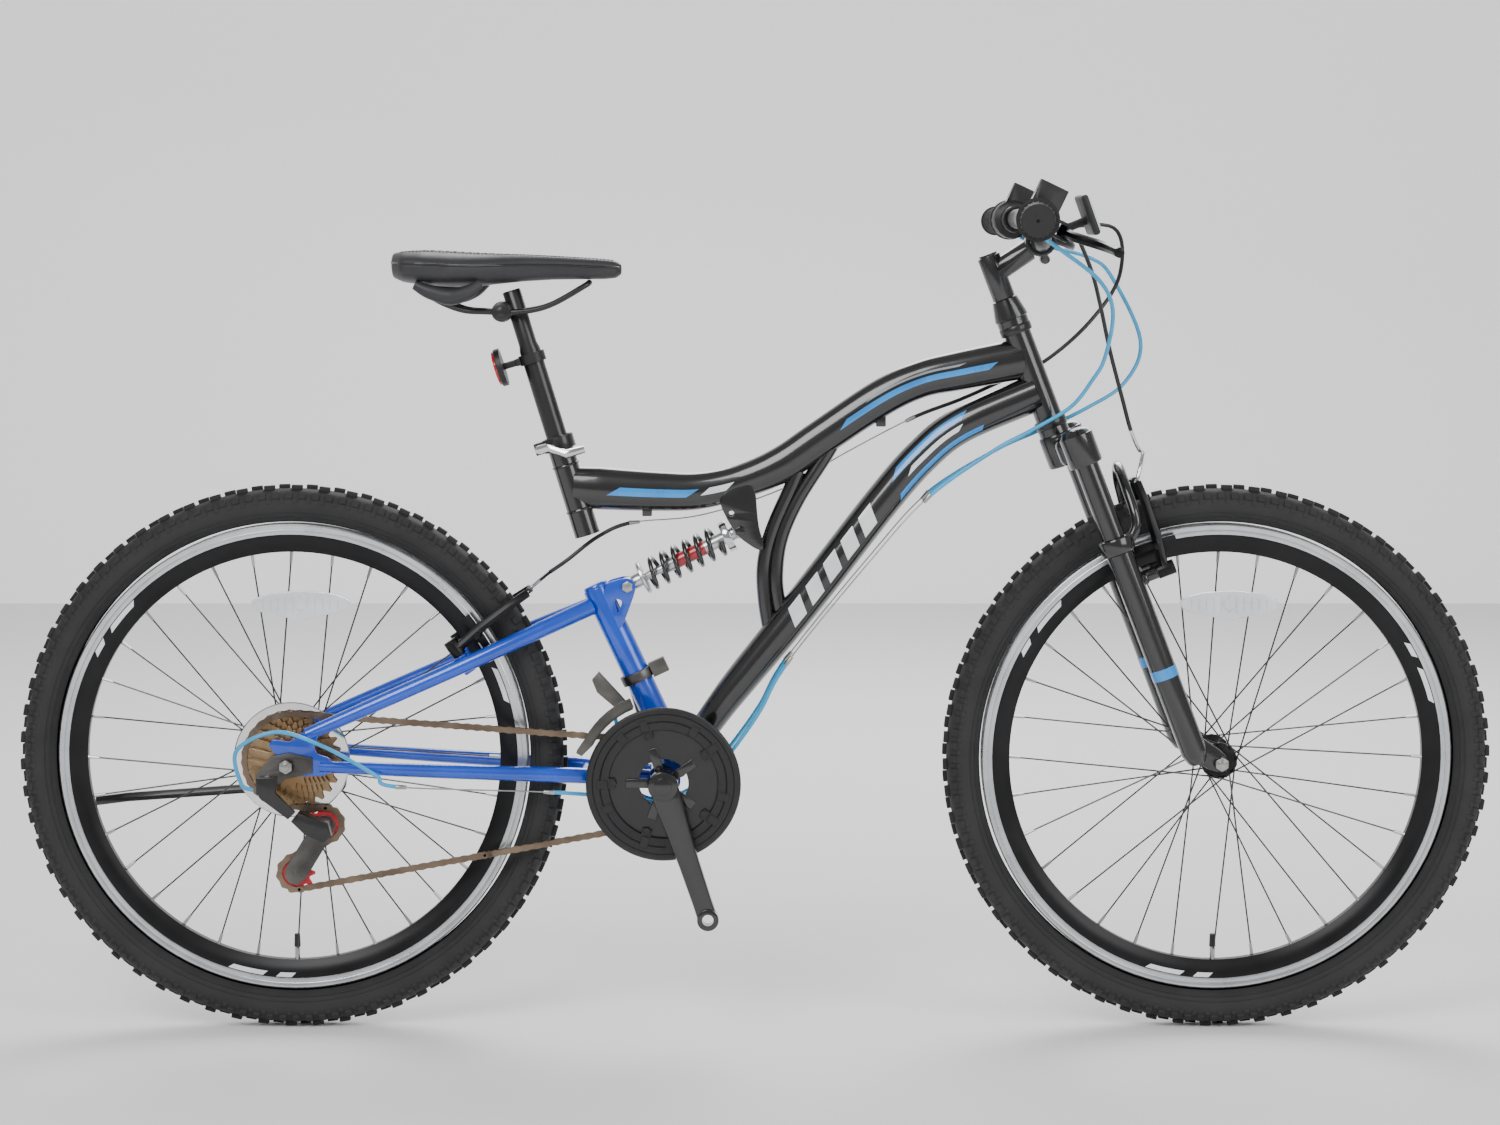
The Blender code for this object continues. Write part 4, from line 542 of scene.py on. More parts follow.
def rim_block(centre, sign, start, sweep):
    """A slanted printed block on the black part of the rim's side."""
    points, faces, steps = [], [], 8
    for k in range(steps + 1):
        for radius, y, slant in ((0.2706, 0.01268, 0.0), (0.265, 0.0124, 0.02)):
            angle = start + sweep * k / steps + slant
            for lift in (0.0, 0.00025):
                points.append(centre + Vector((radius * math.cos(angle), sign * (y + lift),
                                               radius * math.sin(angle))))
    for k in range(steps):
        a, b = 4 * k, 4 * k + 4
        faces += [(a + 1, b + 1, b + 3, a + 3), (a, a + 2, b + 2, b), (a, b, b + 1, a + 1),
                  (a + 2, a + 3, b + 3, b + 2)]
    faces += [(0, 1, 3, 2), (4 * steps, 4 * steps + 2, 4 * steps + 3, 4 * steps + 1)]
    return face_out(from_points(points, (), faces))


def spokes(prefix, centre, body, flanges, sizes):
    """Crossed spokes to each flange, their nipples, and the clear reflector clipped between two of them."""
    wires, nipples = [], []
    for side, flange in ((-1, flanges[0]), (1, flanges[1])):
        turn = 0.0 if side < 0 else math.tau / 32
        for k in range(16):
            way = 1 if k % 2 == 0 else -1
            rim_angle = turn + math.tau * k / 16
            hub_angle = rim_angle + way * 3 * math.tau / 16
            hub_y = flange + side * (0.0025 + 0.0012 * (k % 2))
            low = centre + Vector((0.0203 * math.cos(hub_angle), hub_y, 0.0203 * math.sin(hub_angle)))
            out = Vector((math.cos(rim_angle), 0, math.sin(rim_angle)))
            high = centre + 0.25 * out + Vector((0, side * 0.003, 0))
            wires.append(rod(low, high, sizes.spoke_radius, 8, None, 0))
            low_nipple = high + (low - high).normalized() * 0.0135
            nipples.append(rod(low_nipple, high, 0.0017, 8, 0.0021, 0))
    done(join(wires), f"{prefix}_spoke_wires", body, "black_steel",
         (f"{prefix}_spokes_right", f"{prefix}_spokes_left"), 40)
    valve = [rod(centre - Vector((0, 0, 0.252)), centre - Vector((0, 0, 0.224)), 0.003, 16, None, 0.0004)]
    done(join(nipples + valve), f"{prefix}_nipples", body, "zinc_plate", (), 40)
    cap = rod(centre - Vector((0, 0, 0.235)), centre - Vector((0, 0, 0.219)), 0.004, 16, 0.0034, 0.0006)
    done(cap, f"{prefix}_valve_cap", body, "black_abs")
    top = centre + Vector((0.012, 0, 0.188))
    outline = [(-0.061, 0.004), (-0.04, 0.013), (0, 0.017), (0.04, 0.013), (0.061, 0.004), (0.055, -0.008),
               (0.025, -0.014), (0, -0.021), (-0.025, -0.014), (-0.055, -0.008)]
    lens = [(top.x + x, top.z + z) for x, z in rounded_outline(outline, 1)]
    tray = plate(lens, -0.0205, -0.0135, 0.0015)
    pieces = [tray, cross_rod(top, -0.0217, -0.02, 0.007, 32)]
    for k in range(-5, 6):
        x = top.x + 0.009 * k
        tall = 0.011 - 0.0012 * abs(k)
        pieces.append(rod((x, -0.0207, top.z - tall), (x, -0.0207, top.z + tall), 0.0009, 8, None, 0))
    done(join(pieces), f"{prefix}_wheel_reflector", body, "clear_reflector", (), 40)


def rear_hub():
    """The hub shell, with the spoke protector behind the freewheel."""
    profile = [(0.0056, 0.0365), (0.012, 0.0365), (0.015, 0.035), (0.0225, 0.0345), (0.0225, 0.0315),
               (0.0185, 0.029), (0.0165, 0.024), (0.0165, -0.012), (0.019, -0.016), (0.0225, -0.019),
               (0.0225, -0.022), (0.016, -0.0225), (0.0155, -0.0277), (0.0056, -0.0277)]
    done(lathe(profile, REAR_AXLE, steps=64), "rear_hub_shell", "rear_wheel", "black_anodised",
         ("rear_hub",))
    disc = [(0.0702, -0.0262), (0.069, -0.0274), (0.02, -0.0276), (0.016, -0.0272), (0.016, -0.0266),
            (0.02, -0.0268), (0.068, -0.0256)]
    done(lathe(disc, REAR_AXLE, steps=96), "spoke_protector", "rear_wheel",
         "chrome_plate")


# ---- drivetrain --------------------------------------------------------------------------------
def toothed(teeth, centre, turn=0.0, tip_up=0.0036, root_down=0.0038):
    """A chain wheel's outline: narrow tips with round roots between them."""
    pitch_r = pitch_radius(teeth)
    found = []
    for k in range(teeth):
        for share, rise in ((-0.1, tip_up), (0.1, tip_up), (0.24, -0.0004), (0.36, -root_down * 0.8),
                            (0.5, -root_down), (0.64, -root_down * 0.8), (0.76, -0.0004)):
            angle = turn + math.tau * (k + share) / teeth
            found.append((centre[0] + (pitch_r + rise) * math.cos(angle),
                          centre[2] + (pitch_r + rise) * math.sin(angle)))
    return found


def freewheel():
    """Seven sprockets of stamped steel on their body, lightened by holes."""
    cogs = []
    for k, teeth in enumerate(SPROCKETS):
        y = SPROCKET_Y - SPROCKET_STEP * k
        holes = []
        if teeth >= 24:
            for j in range(8):
                angle = math.tau * j / 8
                place = REAR_AXLE + 0.036 * Vector((math.cos(angle), 0, math.sin(angle)))
                holes.append(round_points(place, 0.005, 16))
        cogs.append(plate(toothed(teeth, REAR_AXLE), y - 0.0009, y + 0.0009, 0.0003, holes))
    body = [(0.0062, -0.0284), (0.0235, -0.0284), (0.024, -0.03), (0.024, -0.06), (0.0225, -0.062),
            (0.015, -0.0622), (0.0145, -0.06), (0.011, -0.06), (0.0105, -0.0622), (0.0062, -0.0622)]
    cogs.append(lathe(body, REAR_AXLE, steps=48))
    done(join(cogs), "freewheel_sprockets", "freewheel_body", "bronze_steel",
         ("freewheel",), 12)


def chainrings():
    """Three toothed rings on their posts, and the guard outside them with its ribbed openings."""
    rings = []
    for teeth, y in CHAINRINGS:
        rings.append(plate(toothed(teeth, BB, 0.0), y - 0.0009, y + 0.0009, 0.0003,
                           [round_points(BB, 0.03, 48)]))
    for k in range(5):
        angle = math.tau * k / 5 + math.radians(35)
        place = BB + 0.038 * Vector((math.cos(angle), 0, math.sin(angle)))
        rings.append(cross_rod(place, -0.0425, -0.0592, 0.005, 24))
    done(join(rings), "toothed_rings", "crankset", "black_steel", ("chainrings",), 12)
    shell = [(0.0925, -0.0606), (0.093, -0.0616), (0.0925, -0.0628), (0.0905, -0.0642), (0.088, -0.0646),
             (0.07, -0.064), (0.066, -0.063), (0.0652, -0.0618), (0.0655, -0.0606)]
    pieces = [lathe(shell, BB, steps=96)]
    for radius in (0.085, 0.076):
        ring = [(radius + 0.0011, -0.064), (radius, -0.0654), (radius - 0.0011, -0.064)]
        pieces.append(lathe(ring, BB, steps=96))
    for k in range(15):
        angle = math.tau * (k + 0.5) / 15
        if k % 3:
            out = Vector((math.cos(angle), 0, math.sin(angle)))
            turn = axes(out, Y_AXIS.cross(out))
            pieces.append(block(BB + 0.0735 * out - 0.0643 * Y_AXIS, (0.013, 0.002, 0.01), turn, 0.0006))
    for k in range(5):
        angle = math.tau * k / 5 + math.radians(35)
        out = Vector((math.cos(angle), 0, math.sin(angle)))
        pieces.append(block(BB + 0.0625 * out - 0.062 * Y_AXIS, (0.01, 0.0024, 0.012),
                            axes(out, Y_AXIS.cross(out)), 0.0006))
        pieces.append(cross_rod(BB + 0.06 * out, -0.0608, -0.0645, 0.0038, 20))
    done(join(pieces), "ribbed_chain_guard", "crankset", "black_abs", ("chain_guard",), 15)


def crank(side, inner, outer, name, node):
    """A forged arm, wide at the spindle and narrow at the open pedal eye."""
    lean = math.radians(18.3)
    along = Vector((math.sin(lean), 0, -math.cos(lean))) * (1 if side < 0 else -1)
    across = along.cross(Y_AXIS)
    eye = BB + 0.17 * along
    rail = [(0.0, 0.0172), (0.02, 0.0168), (0.06, 0.0142), (0.1, 0.0126), (0.15, 0.0118), (0.17, 0.012)]
    outline = [BB + s * along + h * across for s, h in rail] + [BB + s * along - h * across
                                                                for s, h in reversed(rail)]
    arm = plate([(p.x, p.z) for p in outline], side * inner, side * (inner + 0.0135), 0.003)
    pieces = [arm, cross_rod(BB, side * (inner - 0.004), side * (inner + 0.015), 0.018, 48, 0.002)]
    pieces.append(cross_rod(BB, side * (inner + 0.014), side * (inner + 0.016), 0.0105, 32, 0.0008))
    ring = [(0.013, side * outer), (0.0122, side * (outer + 0.0004)), (0.0072, side * (outer + 0.0004)),
            (0.0068, side * outer), (0.0068, side * inner), (0.013, side * inner)]
    eye_ring = lathe([(a, y) for a, y in ring], eye - Vector((0, eye.y, 0)), steps=48)
    cutter = cross_rod(eye, side * (inner - 0.01), side * (outer + 0.01), 0.01, 48, 0)
    cut = arm.modifiers.new("eye", "BOOLEAN")
    cut.operation, cut.object, cut.solver = "DIFFERENCE", cutter, "EXACT"
    only(arm)
    bpy.ops.object.modifier_apply(modifier="eye")
    bpy.data.objects.remove(cutter, do_unlink=True)
    pieces.append(eye_ring)
    if side < 0:
        for k in range(5):
            angle = math.tau * k / 5 + math.radians(35)
            out = Vector((math.cos(angle), 0, math.sin(angle)))
            pieces.append(block(BB + 0.03 * out - 0.0596 * Y_AXIS, (0.03, 0.0022, 0.011),
                                axes(out, Y_AXIS.cross(out)), 0.0007))
        pieces.append(cross_rod(BB, -0.0588, -0.07, 0.0178, 48))
    else:
        pieces.append(cross_rod(BB, -0.0622, 0.064, 0.0085, 32))
    done(join(pieces), name, "crankset", "black_enamel", (node,), 30)


def wrap(centre, radius, y, start, end, turn, count):
    sweep = (end - start) * turn % math.tau * turn
    return [Vector((centre.x + radius * math.cos(start + sweep * k / count), y,
                    centre.z + radius * math.sin(start + sweep * k / count))) for k in range(count + 1)]


def chain_route():
    """Points along the chain's closed loop, from the front ring's top to the rear, and each part's end."""
    stops = [(BB, pitch_radius(24), CHAINRINGS[0][1], 1), (REAR_AXLE, pitch_radius(28), SPROCKET_Y, 1),
             (GUIDE_PULLEY, pitch_radius(10), SPROCKET_Y, -1),
             (TENSION_PULLEY, pitch_radius(10), SPROCKET_Y, 1)]
    touches = []
    for k, (a, ra, _, sa) in enumerate(stops):
        b, rb, _, sb = stops[(k + 1) % 4]
        d = Vector((b.x - a.x, b.z - a.z))
        base = math.atan2(d.y, d.x) + math.asin((sa * ra - sb * rb) / d.length)
        touches.append((base - sa * math.pi / 2, base - sb * math.pi / 2))
    parts = [wrap(c, r, y, touches[k - 1][1], touches[k][0], turn, 60)
             for k, (c, r, y, turn) in enumerate(stops)]
    ring, cog, guide, tension = parts
    return ring + cog, cog[-1:] + guide[:1], guide + tension, tension[-1:] + ring[:1]


def walk(points, step, offset=0.0):
    """Points a fixed step apart along a route."""
    found, carry = [], offset
    for a, b in zip(points, points[1:]):
        length = (b - a).length
        while carry <= length:
            found.append(a.lerp(b, carry / length) if length else a.copy())
            carry += step
        carry -= length
    return found


def link_plate(a, b, y_shift, wide):
    """A figure-eight side plate between two pins."""
    ahead = (b - a).normalized()
    across = ahead.cross(Y_AXIS).normalized()
    middle = (a + b) / 2
    half = PITCH / 2
    outline = []
    for k in range(6):
        angle = -math.pi / 2 + math.pi * k / 5
        outline.append((half + 0.004 * math.cos(angle), 0.004 * math.sin(angle)))
    outline.append((0.0, 0.003))
    outline += [(-x, -z) for x, z in outline[:6]] + [(0.0, -0.003)]
    points, count = [], len(outline)
    for y in (y_shift - wide / 2, y_shift + wide / 2):
        points += [middle + x * ahead + z * across + y * Y_AXIS for x, z in outline]
    faces = [tuple(range(count)), tuple(range(2 * count - 1, count - 1, -1))]
    faces += [(k, k + count, (k + 1) % count + count, (k + 1) % count) for k in range(count)]
    return points, faces


def chain_piece(name, route, first, closed_end=False):
    """Links with alternate inner and outer plates, and a roller at each pin."""
    pins = walk(route, PITCH, first)
    if closed_end:
        pins.append(route[-1])
    points, faces = [], []

    def take(more, more_faces):
        base = len(points)
        points.extend(more)
        faces.extend(tuple(base + k for k in face) for face in more_faces)

    for k, (a, b) in enumerate(zip(pins, pins[1:])):
        shift, wide = (0.0029, 0.0008) if k % 2 else (0.0021, 0.0008)
        for side in (-1, 1):
            take(*link_plate(a, b, side * shift, wide))
    for pin in pins:
        ring = [Vector((math.cos(t), 0, math.sin(t))) for t in (math.tau * j / 10 for j in range(10))]
        for radius, half in ((0.0036, 0.0017), (0.0018, 0.0036)):
            low = [pin + radius * r - half * Y_AXIS for r in ring]
            high = [pin + radius * r + half * Y_AXIS for r in ring]
            sides = [(j, j + 10, (j + 1) % 10 + 10, (j + 1) % 10) for j in range(10)]
            take(low + high, sides + [tuple(range(10)), tuple(range(19, 9, -1))])
    made = from_points(points, (), faces)
    only(made)
    bpy.ops.object.mode_set(mode="EDIT")
    bpy.ops.mesh.select_all(action="SELECT")
    bpy.ops.mesh.normals_make_consistent(inside=False)
    bpy.ops.object.mode_set(mode="OBJECT")
    made.name = name
    return made


def put_chain():
    """The chain in five parts: the upper run on the swingarm and the caged run on the derailleur's cage; the
    drop and both halves of the lower run are taken off their bodies.
    """
    upper, drop, caged, lower = chain_route()
    piece = chain_piece("chain_upper", upper, 0.0)
    done(piece, "chain_upper", "swing", "oiled_steel", ("chain",), 40)
    piece = chain_piece("chain_drop", drop, 0.0, True)
    done(piece, "chain_drop", "swing", "oiled_steel", (), 40)
    free(piece)
    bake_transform(piece)
    done(chain_piece("chain_caged", caged, 0.0, True), "chain_caged", "rear_mech_cage",
         "oiled_steel", (), 40)
    middle = lower[0].lerp(lower[1], 0.5)
    piece = chain_piece("chain_lower_rear", [lower[0], middle], 0.0, True)
    done(piece, "chain_lower_rear", "rear_mech", "oiled_steel", (), 40)
    free(piece)
    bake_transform(piece)
    piece = chain_piece("chain_lower_front", [middle, lower[1]], 0.0, True)
    done(piece, "chain_lower_front", "swing", "oiled_steel", (), 40)
    free(piece)
    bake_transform(piece)


def free(obj):
    """Takes the piece off its body."""
    obj.parent = None
    obj.matrix_world = Matrix.Identity(4)
    return obj


def pulleys():
    """Two moulded pulleys with ten teeth, and the cap screws that hold them."""
    for name, centre, body in (("guide_pulley", GUIDE_PULLEY, "guide"),
                               ("tension_pulley", TENSION_PULLEY, "tension")):
        wheel = plate(toothed(10, centre, 0.0, 0.0028, 0.0034), SPROCKET_Y - 0.0012,
                      SPROCKET_Y + 0.0012, 0.0003)
        hub = lathe([(0.009, 0.005), (0.0082, 0.0055), (0.0034, 0.0055), (0.0034, -0.0055), (0.0082, -0.0055),
                     (0.009, -0.005)], centre + SPROCKET_Y * Y_AXIS, steps=32)
        done(join([wheel, hub]), f"{name}_toothed", body, "red_nylon", (name,), 35)


# ---- main frame and swingarm -------------------------------------------------------------------
TOP_LINE = [(-0.2185, 0.6612, 0.048), (-0.1869, 0.6586, 0.052), (-0.1144, 0.655, 0.048),
            (-0.0661, 0.6556, 0.0447),
            (-0.0178, 0.6664, 0.041), (0.0306, 0.6864, 0.044), (0.0789, 0.719, 0.044),
            (0.1514, 0.7673, 0.045),
            (0.1997, 0.7897, 0.044), (0.248, 0.8006, 0.047), (0.322, 0.815, 0.049)]
DOWN_LINE = [(-0.0697, 0.3541, 0.017), (-0.0419, 0.3934, 0.0185), (-0.0178, 0.4248, 0.02),
             (0.0306, 0.4846, 0.0215),
             (0.0789, 0.546, 0.022), (0.1514, 0.6405, 0.022), (0.1997, 0.6965, 0.022), (0.248, 0.7348, 0.022),
             (0.338, 0.774, 0.0225)]
STRUTS = ([(0.052, 0.68), (0.0437, 0.6602), (0.0221, 0.6108), (0.0112, 0.568), (0.012, 0.5245),
           (0.02, 0.474)],
          [(0.092, 0.71), (0.0823, 0.694), (0.0513, 0.6447), (0.0314, 0.5984), (0.0253, 0.5553),
           (0.0282, 0.5215),
           (0.036, 0.495)])
TOP_FLATTEN = 0.74


def weld_bead(centre, axis, radius, wire=0.0016):
    """The rippled bead where a tube is welded on."""
    axis = Vector(axis).normalized()
    ring = [(radius + wire * math.cos(a), wire * math.sin(a)) for a in (math.tau * k / 8 for k in range(8))]
    return lathe(ring, centre, axis, 48)


def cut_from(obj, cutters):
    for cutter in cutters:
        step = obj.modifiers.new("cut", "BOOLEAN")
        step.operation, step.object, step.solver = "DIFFERENCE", cutter, "EXACT"
        only(obj)
        bpy.ops.object.modifier_apply(modifier="cut")
        bpy.data.objects.remove(cutter, do_unlink=True)
    return obj


def main_frame():
    """Swept top tube, deep down tube and two curved struts, welded to the head and seat tubes."""
    tall = spread([t / 0.05 for _, _, t in TOP_LINE])
    top = pipe(smooth([(x, 0, z) for x, z, _ in TOP_LINE]), 0.025, tall, 40)
    top.data.transform(Matrix.Diagonal((1, TOP_FLATTEN, 1, 1)))
    down = pipe(smooth([(x, 0, z) for x, z, _ in DOWN_LINE]), 0.022,
                spread([r / 0.022 for _, _, r in DOWN_LINE]), 40)
    struts = [pipe(smooth([(x, 0, z) for x, z in line]), 0.009, None, 24) for line in STRUTS]
    bracket = [(-0.042, 0.6396), (-0.04, 0.65), (-0.0283, 0.66), (0.0, 0.666), (0.0041, 0.612),
               (0.011, 0.59), (0.008, 0.5842), (-0.0005, 0.587), (-0.019, 0.6), (-0.032, 0.619)]
    hole = round_points((-0.0283, 0, 0.629), 0.0035, 20)
    plates = [plate(rounded_outline(bracket, 2), side * 0.011, side * 0.015, 0.0006, [hole])
              for side in (-1, 1)]
    top_cut = rod(seat(0, 0, -0.02), seat(0, 0, 0.15), 0.0131, 48, None, 0)
    top = cut_from(top, [top_cut])
    bore = (STEER_FOOT - 0.02 * STEER_UP, STEER_FOOT + 0.15 * STEER_UP, 0.013, 48, None, 0)
    top = cut_from(top, [rod(*bore)])
    down = cut_from(down, [rod(*bore), cross_rod(PIVOT, -0.04, 0.04, 0.006, 32, 0)])
    head = lathe([(0.0165, 0.008), (0.0165, 0.12), (0.0131, 0.12), (0.0131, 0.008)], STEER_FOOT, STEER_UP, 64)
    tube = lathe([(0.0155, 0.0), (0.0155, 0.125), (0.0131, 0.125), (0.0131, 0.0)], SEAT_FOOT, SEAT_UP, 64)
    shell = lathe([(0.015, 0.0266), (0.006, 0.0266), (0.006, -0.0266), (0.015, -0.0266)], PIVOT, Y_AXIS, 48)
    bolt = cross_rod(SHOCK_FRONT, -0.018, 0.018, 0.004, 24)
    heads = [cross_rod(SHOCK_FRONT, side * 0.0152, side * 0.019, 0.0065, 6) for side in (-1, 1)]
    beads = [weld_bead(seat(0.0, 0, 0.032), SEAT_UP, 0.0156), weld_bead(seat(0.0, 0, 0.088), SEAT_UP, 0.0156)]
    stops = [block((0.1514, 0, 0.741), (0.012, 0.01, 0.016)), block((-0.13, 0, 0.633), (0.012, 0.01, 0.016))]
    pieces = [top, down, *struts, *plates, head, tube, shell, bolt, *heads, *beads, *stops]
    done(join(pieces), "welded_frame", "frame", "black_enamel", ("main_frame",), 35)
    cups = []
    for low, high in ((-0.001, 0.009), (0.119, 0.129)):
        section = [(0.0188, low), (0.0195, low + 0.001), (0.0195, high - 0.001), (0.0188, high),
                   (0.0135, high),
                   (0.0135, low)]
        cups.append(lathe(section, STEER_FOOT, STEER_UP, 64))
    done(join(cups), "headset_cups", "frame", "black_steel", (), 35)


def tube_print(line, half_of, flatten, x_from, x_to, low, high, slant, side, steps=20):
    """A thin printed patch on one side of a tube. low and high are angles round the tube from its side."""
    route = smooth([(x, 0, z) for x, z, _ in line], 12)
    halves = spread([half_of(w) for _, _, w in line], 12)
    along = list(zip(route, halves))
    points = []
    for k in range(steps + 1):
        for j in range(7):
            angle = low + (high - low) * j / 6
            x = x_from + (x_to - x_from) * k / steps + slant * (j / 6 - 0.5)
            for (a, ha), (b, hb) in zip(along, along[1:]):
                if a.x <= x <= b.x:
                    t = (x - a.x) / (b.x - a.x)
                    centre, half = a.lerp(b, t), ha + (hb - ha) * t
                    ahead = (b - a).normalized()
                    break
            else:
                raise ValueError("the print runs off its tube")
            up = Vector((-ahead.z, 0, ahead.x))
            for lift in (0.0001, 0.0005):
                reach = half + lift
                points.append(centre + reach * math.sin(angle) * up
                              + side * (flatten * half + lift) * math.cos(angle) * Y_AXIS)
    faces = []

    def at(k, j, lift):
        return (k * 7 + j) * 2 + lift

    for k in range(steps):
        for j in range(6):
            faces.append((at(k, j, 1), at(k + 1, j, 1), at(k + 1, j + 1, 1), at(k, j + 1, 1)))
            faces.append((at(k, j, 0), at(k, j + 1, 0), at(k + 1, j + 1, 0), at(k + 1, j, 0)))
        for j in (0, 6):
            faces.append((at(k, j, 0), at(k + 1, j, 0), at(k + 1, j, 1), at(k, j, 1)))
    for j in range(6):
        for k in (0, steps):
            faces.append((at(k, j, 0), at(k, j + 1, 0), at(k, j + 1, 1), at(k, j, 1)))
    return face_out(from_points(points, (), faces), 0.0000001)


def frame_prints():
    """Abstract bars and slanted blocks printed on the tubes, with no lettering."""
    def down_half(r):
        return r

    def top_half(tall):
        return tall / 2

    white, blue, grey = [], [], []
    for side in (-1, 1):
        for k in range(5):
            start = 0.045 + 0.021 * k
            white.append(tube_print(DOWN_LINE, down_half, 1.0, start, start + 0.014, -0.45,
                                    0.55, 0.008, side, 6))
        blue.append(tube_print(DOWN_LINE, down_half, 1.0, 0.165, 0.268, -0.75, -0.45, 0.004, side, 14))
        blue.append(tube_print(DOWN_LINE, down_half, 1.0, 0.175, 0.255, 0.3, 0.7, 0.01, side, 12))
        white.append(tube_print(DOWN_LINE, down_half, 1.0, 0.185, 0.246, -0.15, 0.1, 0.008, side, 10))
        blue.append(tube_print(TOP_LINE, top_half, TOP_FLATTEN, 0.105, 0.285, -0.2, 0.1, 0.012, side, 24))
        grey.append(tube_print(TOP_LINE, top_half, TOP_FLATTEN, 0.14, 0.25, 0.25, 0.36, 0.01, side, 16))
        blue.append(tube_print(TOP_LINE, top_half, TOP_FLATTEN, -0.17, -0.075, -0.25, 0.15, 0.016, side, 14))
        white.append(tube_print(TOP_LINE, top_half, TOP_FLATTEN, -0.06, -0.03, -0.2, 0.15, 0.012, side, 6))
    done(join(white), "frame_white_prints", "frame", "white_decal")
    done(join(blue), "frame_blue_prints", "frame", "blue_decal")
    done(join(grey), "frame_grey_prints", "frame", "grey_decal")


def swingarm():
    """Upright tube, bottom-bracket shell and four tapered stays with stamped dropouts, in blue enamel."""
    top, foot = Vector((-0.1921, 0, 0.5384)), Vector((-0.099, 0, 0.338))
    pieces = [lathe([(0.02, 0.034), (0.0173, 0.034), (0.0173, -0.034), (0.02, -0.034)], BB, Y_AXIS, 64)]
    tube = rod(top, foot, 0.0165, 48, None, 0.001)
    pieces.append(cut_from(tube, [cross_rod(BB, -0.05, 0.05, 0.0175, 48, 0)]))
    up = (top - foot).normalized()
    pieces.append(rod(top - 0.001 * up, top + 0.0046 * up, 0.0158, 48, 0.014, 0.0012))
    for side in (-1, 1):
        stay = [(-0.1138, 0.017, 0.309), (-0.15, 0.019, 0.311), (-0.19, 0.034, 0.3132),
                (-0.24, 0.044, 0.3165),
                (-0.4, 0.059, 0.324), (-0.52, 0.0685, 0.3305)]
        shares = spread([1.0, 1.0, 1.0, 1.0, 0.88, 0.74])
        lower = pipe(smooth([(x, side * y, z) for x, y, z in stay]), STAY_R, shares, 24)
        pieces.append(cut_from(lower, [cross_rod(BB, -0.05, 0.05, 0.0175, 48, 0)]))
        stay = [(-0.197, 0.008, 0.516), (-0.26, 0.03, 0.489), (-0.33, 0.048, 0.4585), (-0.44, 0.061, 0.4105),
                (-0.535, 0.0685, 0.369)]
        pieces.append(pipe(smooth([(x, side * y, z) for x, y, z in stay]), STAY_R,
                           spread([1.1, 1.05, 1.0, 0.95, 0.85]), 24))
        drop = [(-0.505, 0.32), (-0.505, 0.34), (-0.527, 0.348), (-0.52, 0.372), (-0.532, 0.38),
                (-0.552, 0.36),
                (-0.575, 0.364), (-0.581, 0.356), (-0.571, 0.345), (-0.569, 0.327), (-0.556, 0.319)]
        hole = round_points(REAR_AXLE, 0.0052, 24)
        pieces.append(plate(rounded_outline(drop, 1), side * 0.066, side * 0.072, 0.0008, [hole]))
        lug = [(BB.x - 0.008, BB.z + 0.012), (BB.x + 0.016, BB.z - 0.004), (PIVOT.x + 0.014, PIVOT.z - 0.008),
               (PIVOT.x + 0.012, PIVOT.z + 0.011), (PIVOT.x - 0.004, PIVOT.z + 0.016),
               (BB.x + 0.004, BB.z + 0.046)]
        lug_plate = plate(rounded_outline(lug, 1), side * 0.027, side * 0.032, 0.0008)
        pieces.append(cut_from(lug_plate, [cross_rod(BB, -0.05, 0.05, 0.0175, 48, 0)]))
        gusset = [(-0.184, 0.544), (-0.156, 0.552), (-0.145, 0.548), (-0.143, 0.537), (-0.1625, 0.485),
                  (-0.176, 0.495)]
        window = [(-0.17, 0.527), (-0.159, 0.524), (-0.1655, 0.506)]
        pieces.append(plate(rounded_outline(gusset, 2), side * 0.0125, side * 0.0155, 0.0005,
                            [rounded_outline(window, 2)]))
        arm_dir = Vector((math.cos(REAR_BOSS_ANGLE), 0, math.sin(REAR_BOSS_ANGLE)))
        boss_dir = Vector((-arm_dir.z, 0, arm_dir.x))
        boss = REAR_AXLE + REAR_BOSS_REACH * arm_dir + side * BOSS_Y * Y_AXIS
        pieces.append(rod(boss - 0.032 * boss_dir, boss - 0.0085 * boss_dir, 0.008, 32))
        pieces.append(rod(boss - 0.01 * boss_dir, boss + 0.01 * boss_dir, 0.005, 24))
    pieces.append(pipe([(-0.245, -0.025, 0.496), (-0.245, 0.025, 0.496)], 0.006, None, 24))
    pieces.append(pipe([(-0.206, -0.034, 0.314), (-0.206, 0.034, 0.314)], 0.006, None, 24))
    done(join(pieces), "welded_swingarm", "swing", "blue_enamel", ("swingarm",), 35)
    bolts = [cross_rod(PIVOT, -0.035, 0.035, 0.0055, 24), cross_rod(SHOCK_REAR, -0.019, 0.019, 0.004, 24)]
    bolts += [cross_rod(SHOCK_REAR, side * 0.0157, side * 0.0195, 0.007, 6) for side in (-1, 1)]
    bolts += [cross_rod(PIVOT, side * 0.0322, side * 0.035, 0.0085, 32) for side in (-1, 1)]
    done(join(bolts), "swingarm_bolts", "swing", "zinc_plate", (), 35)


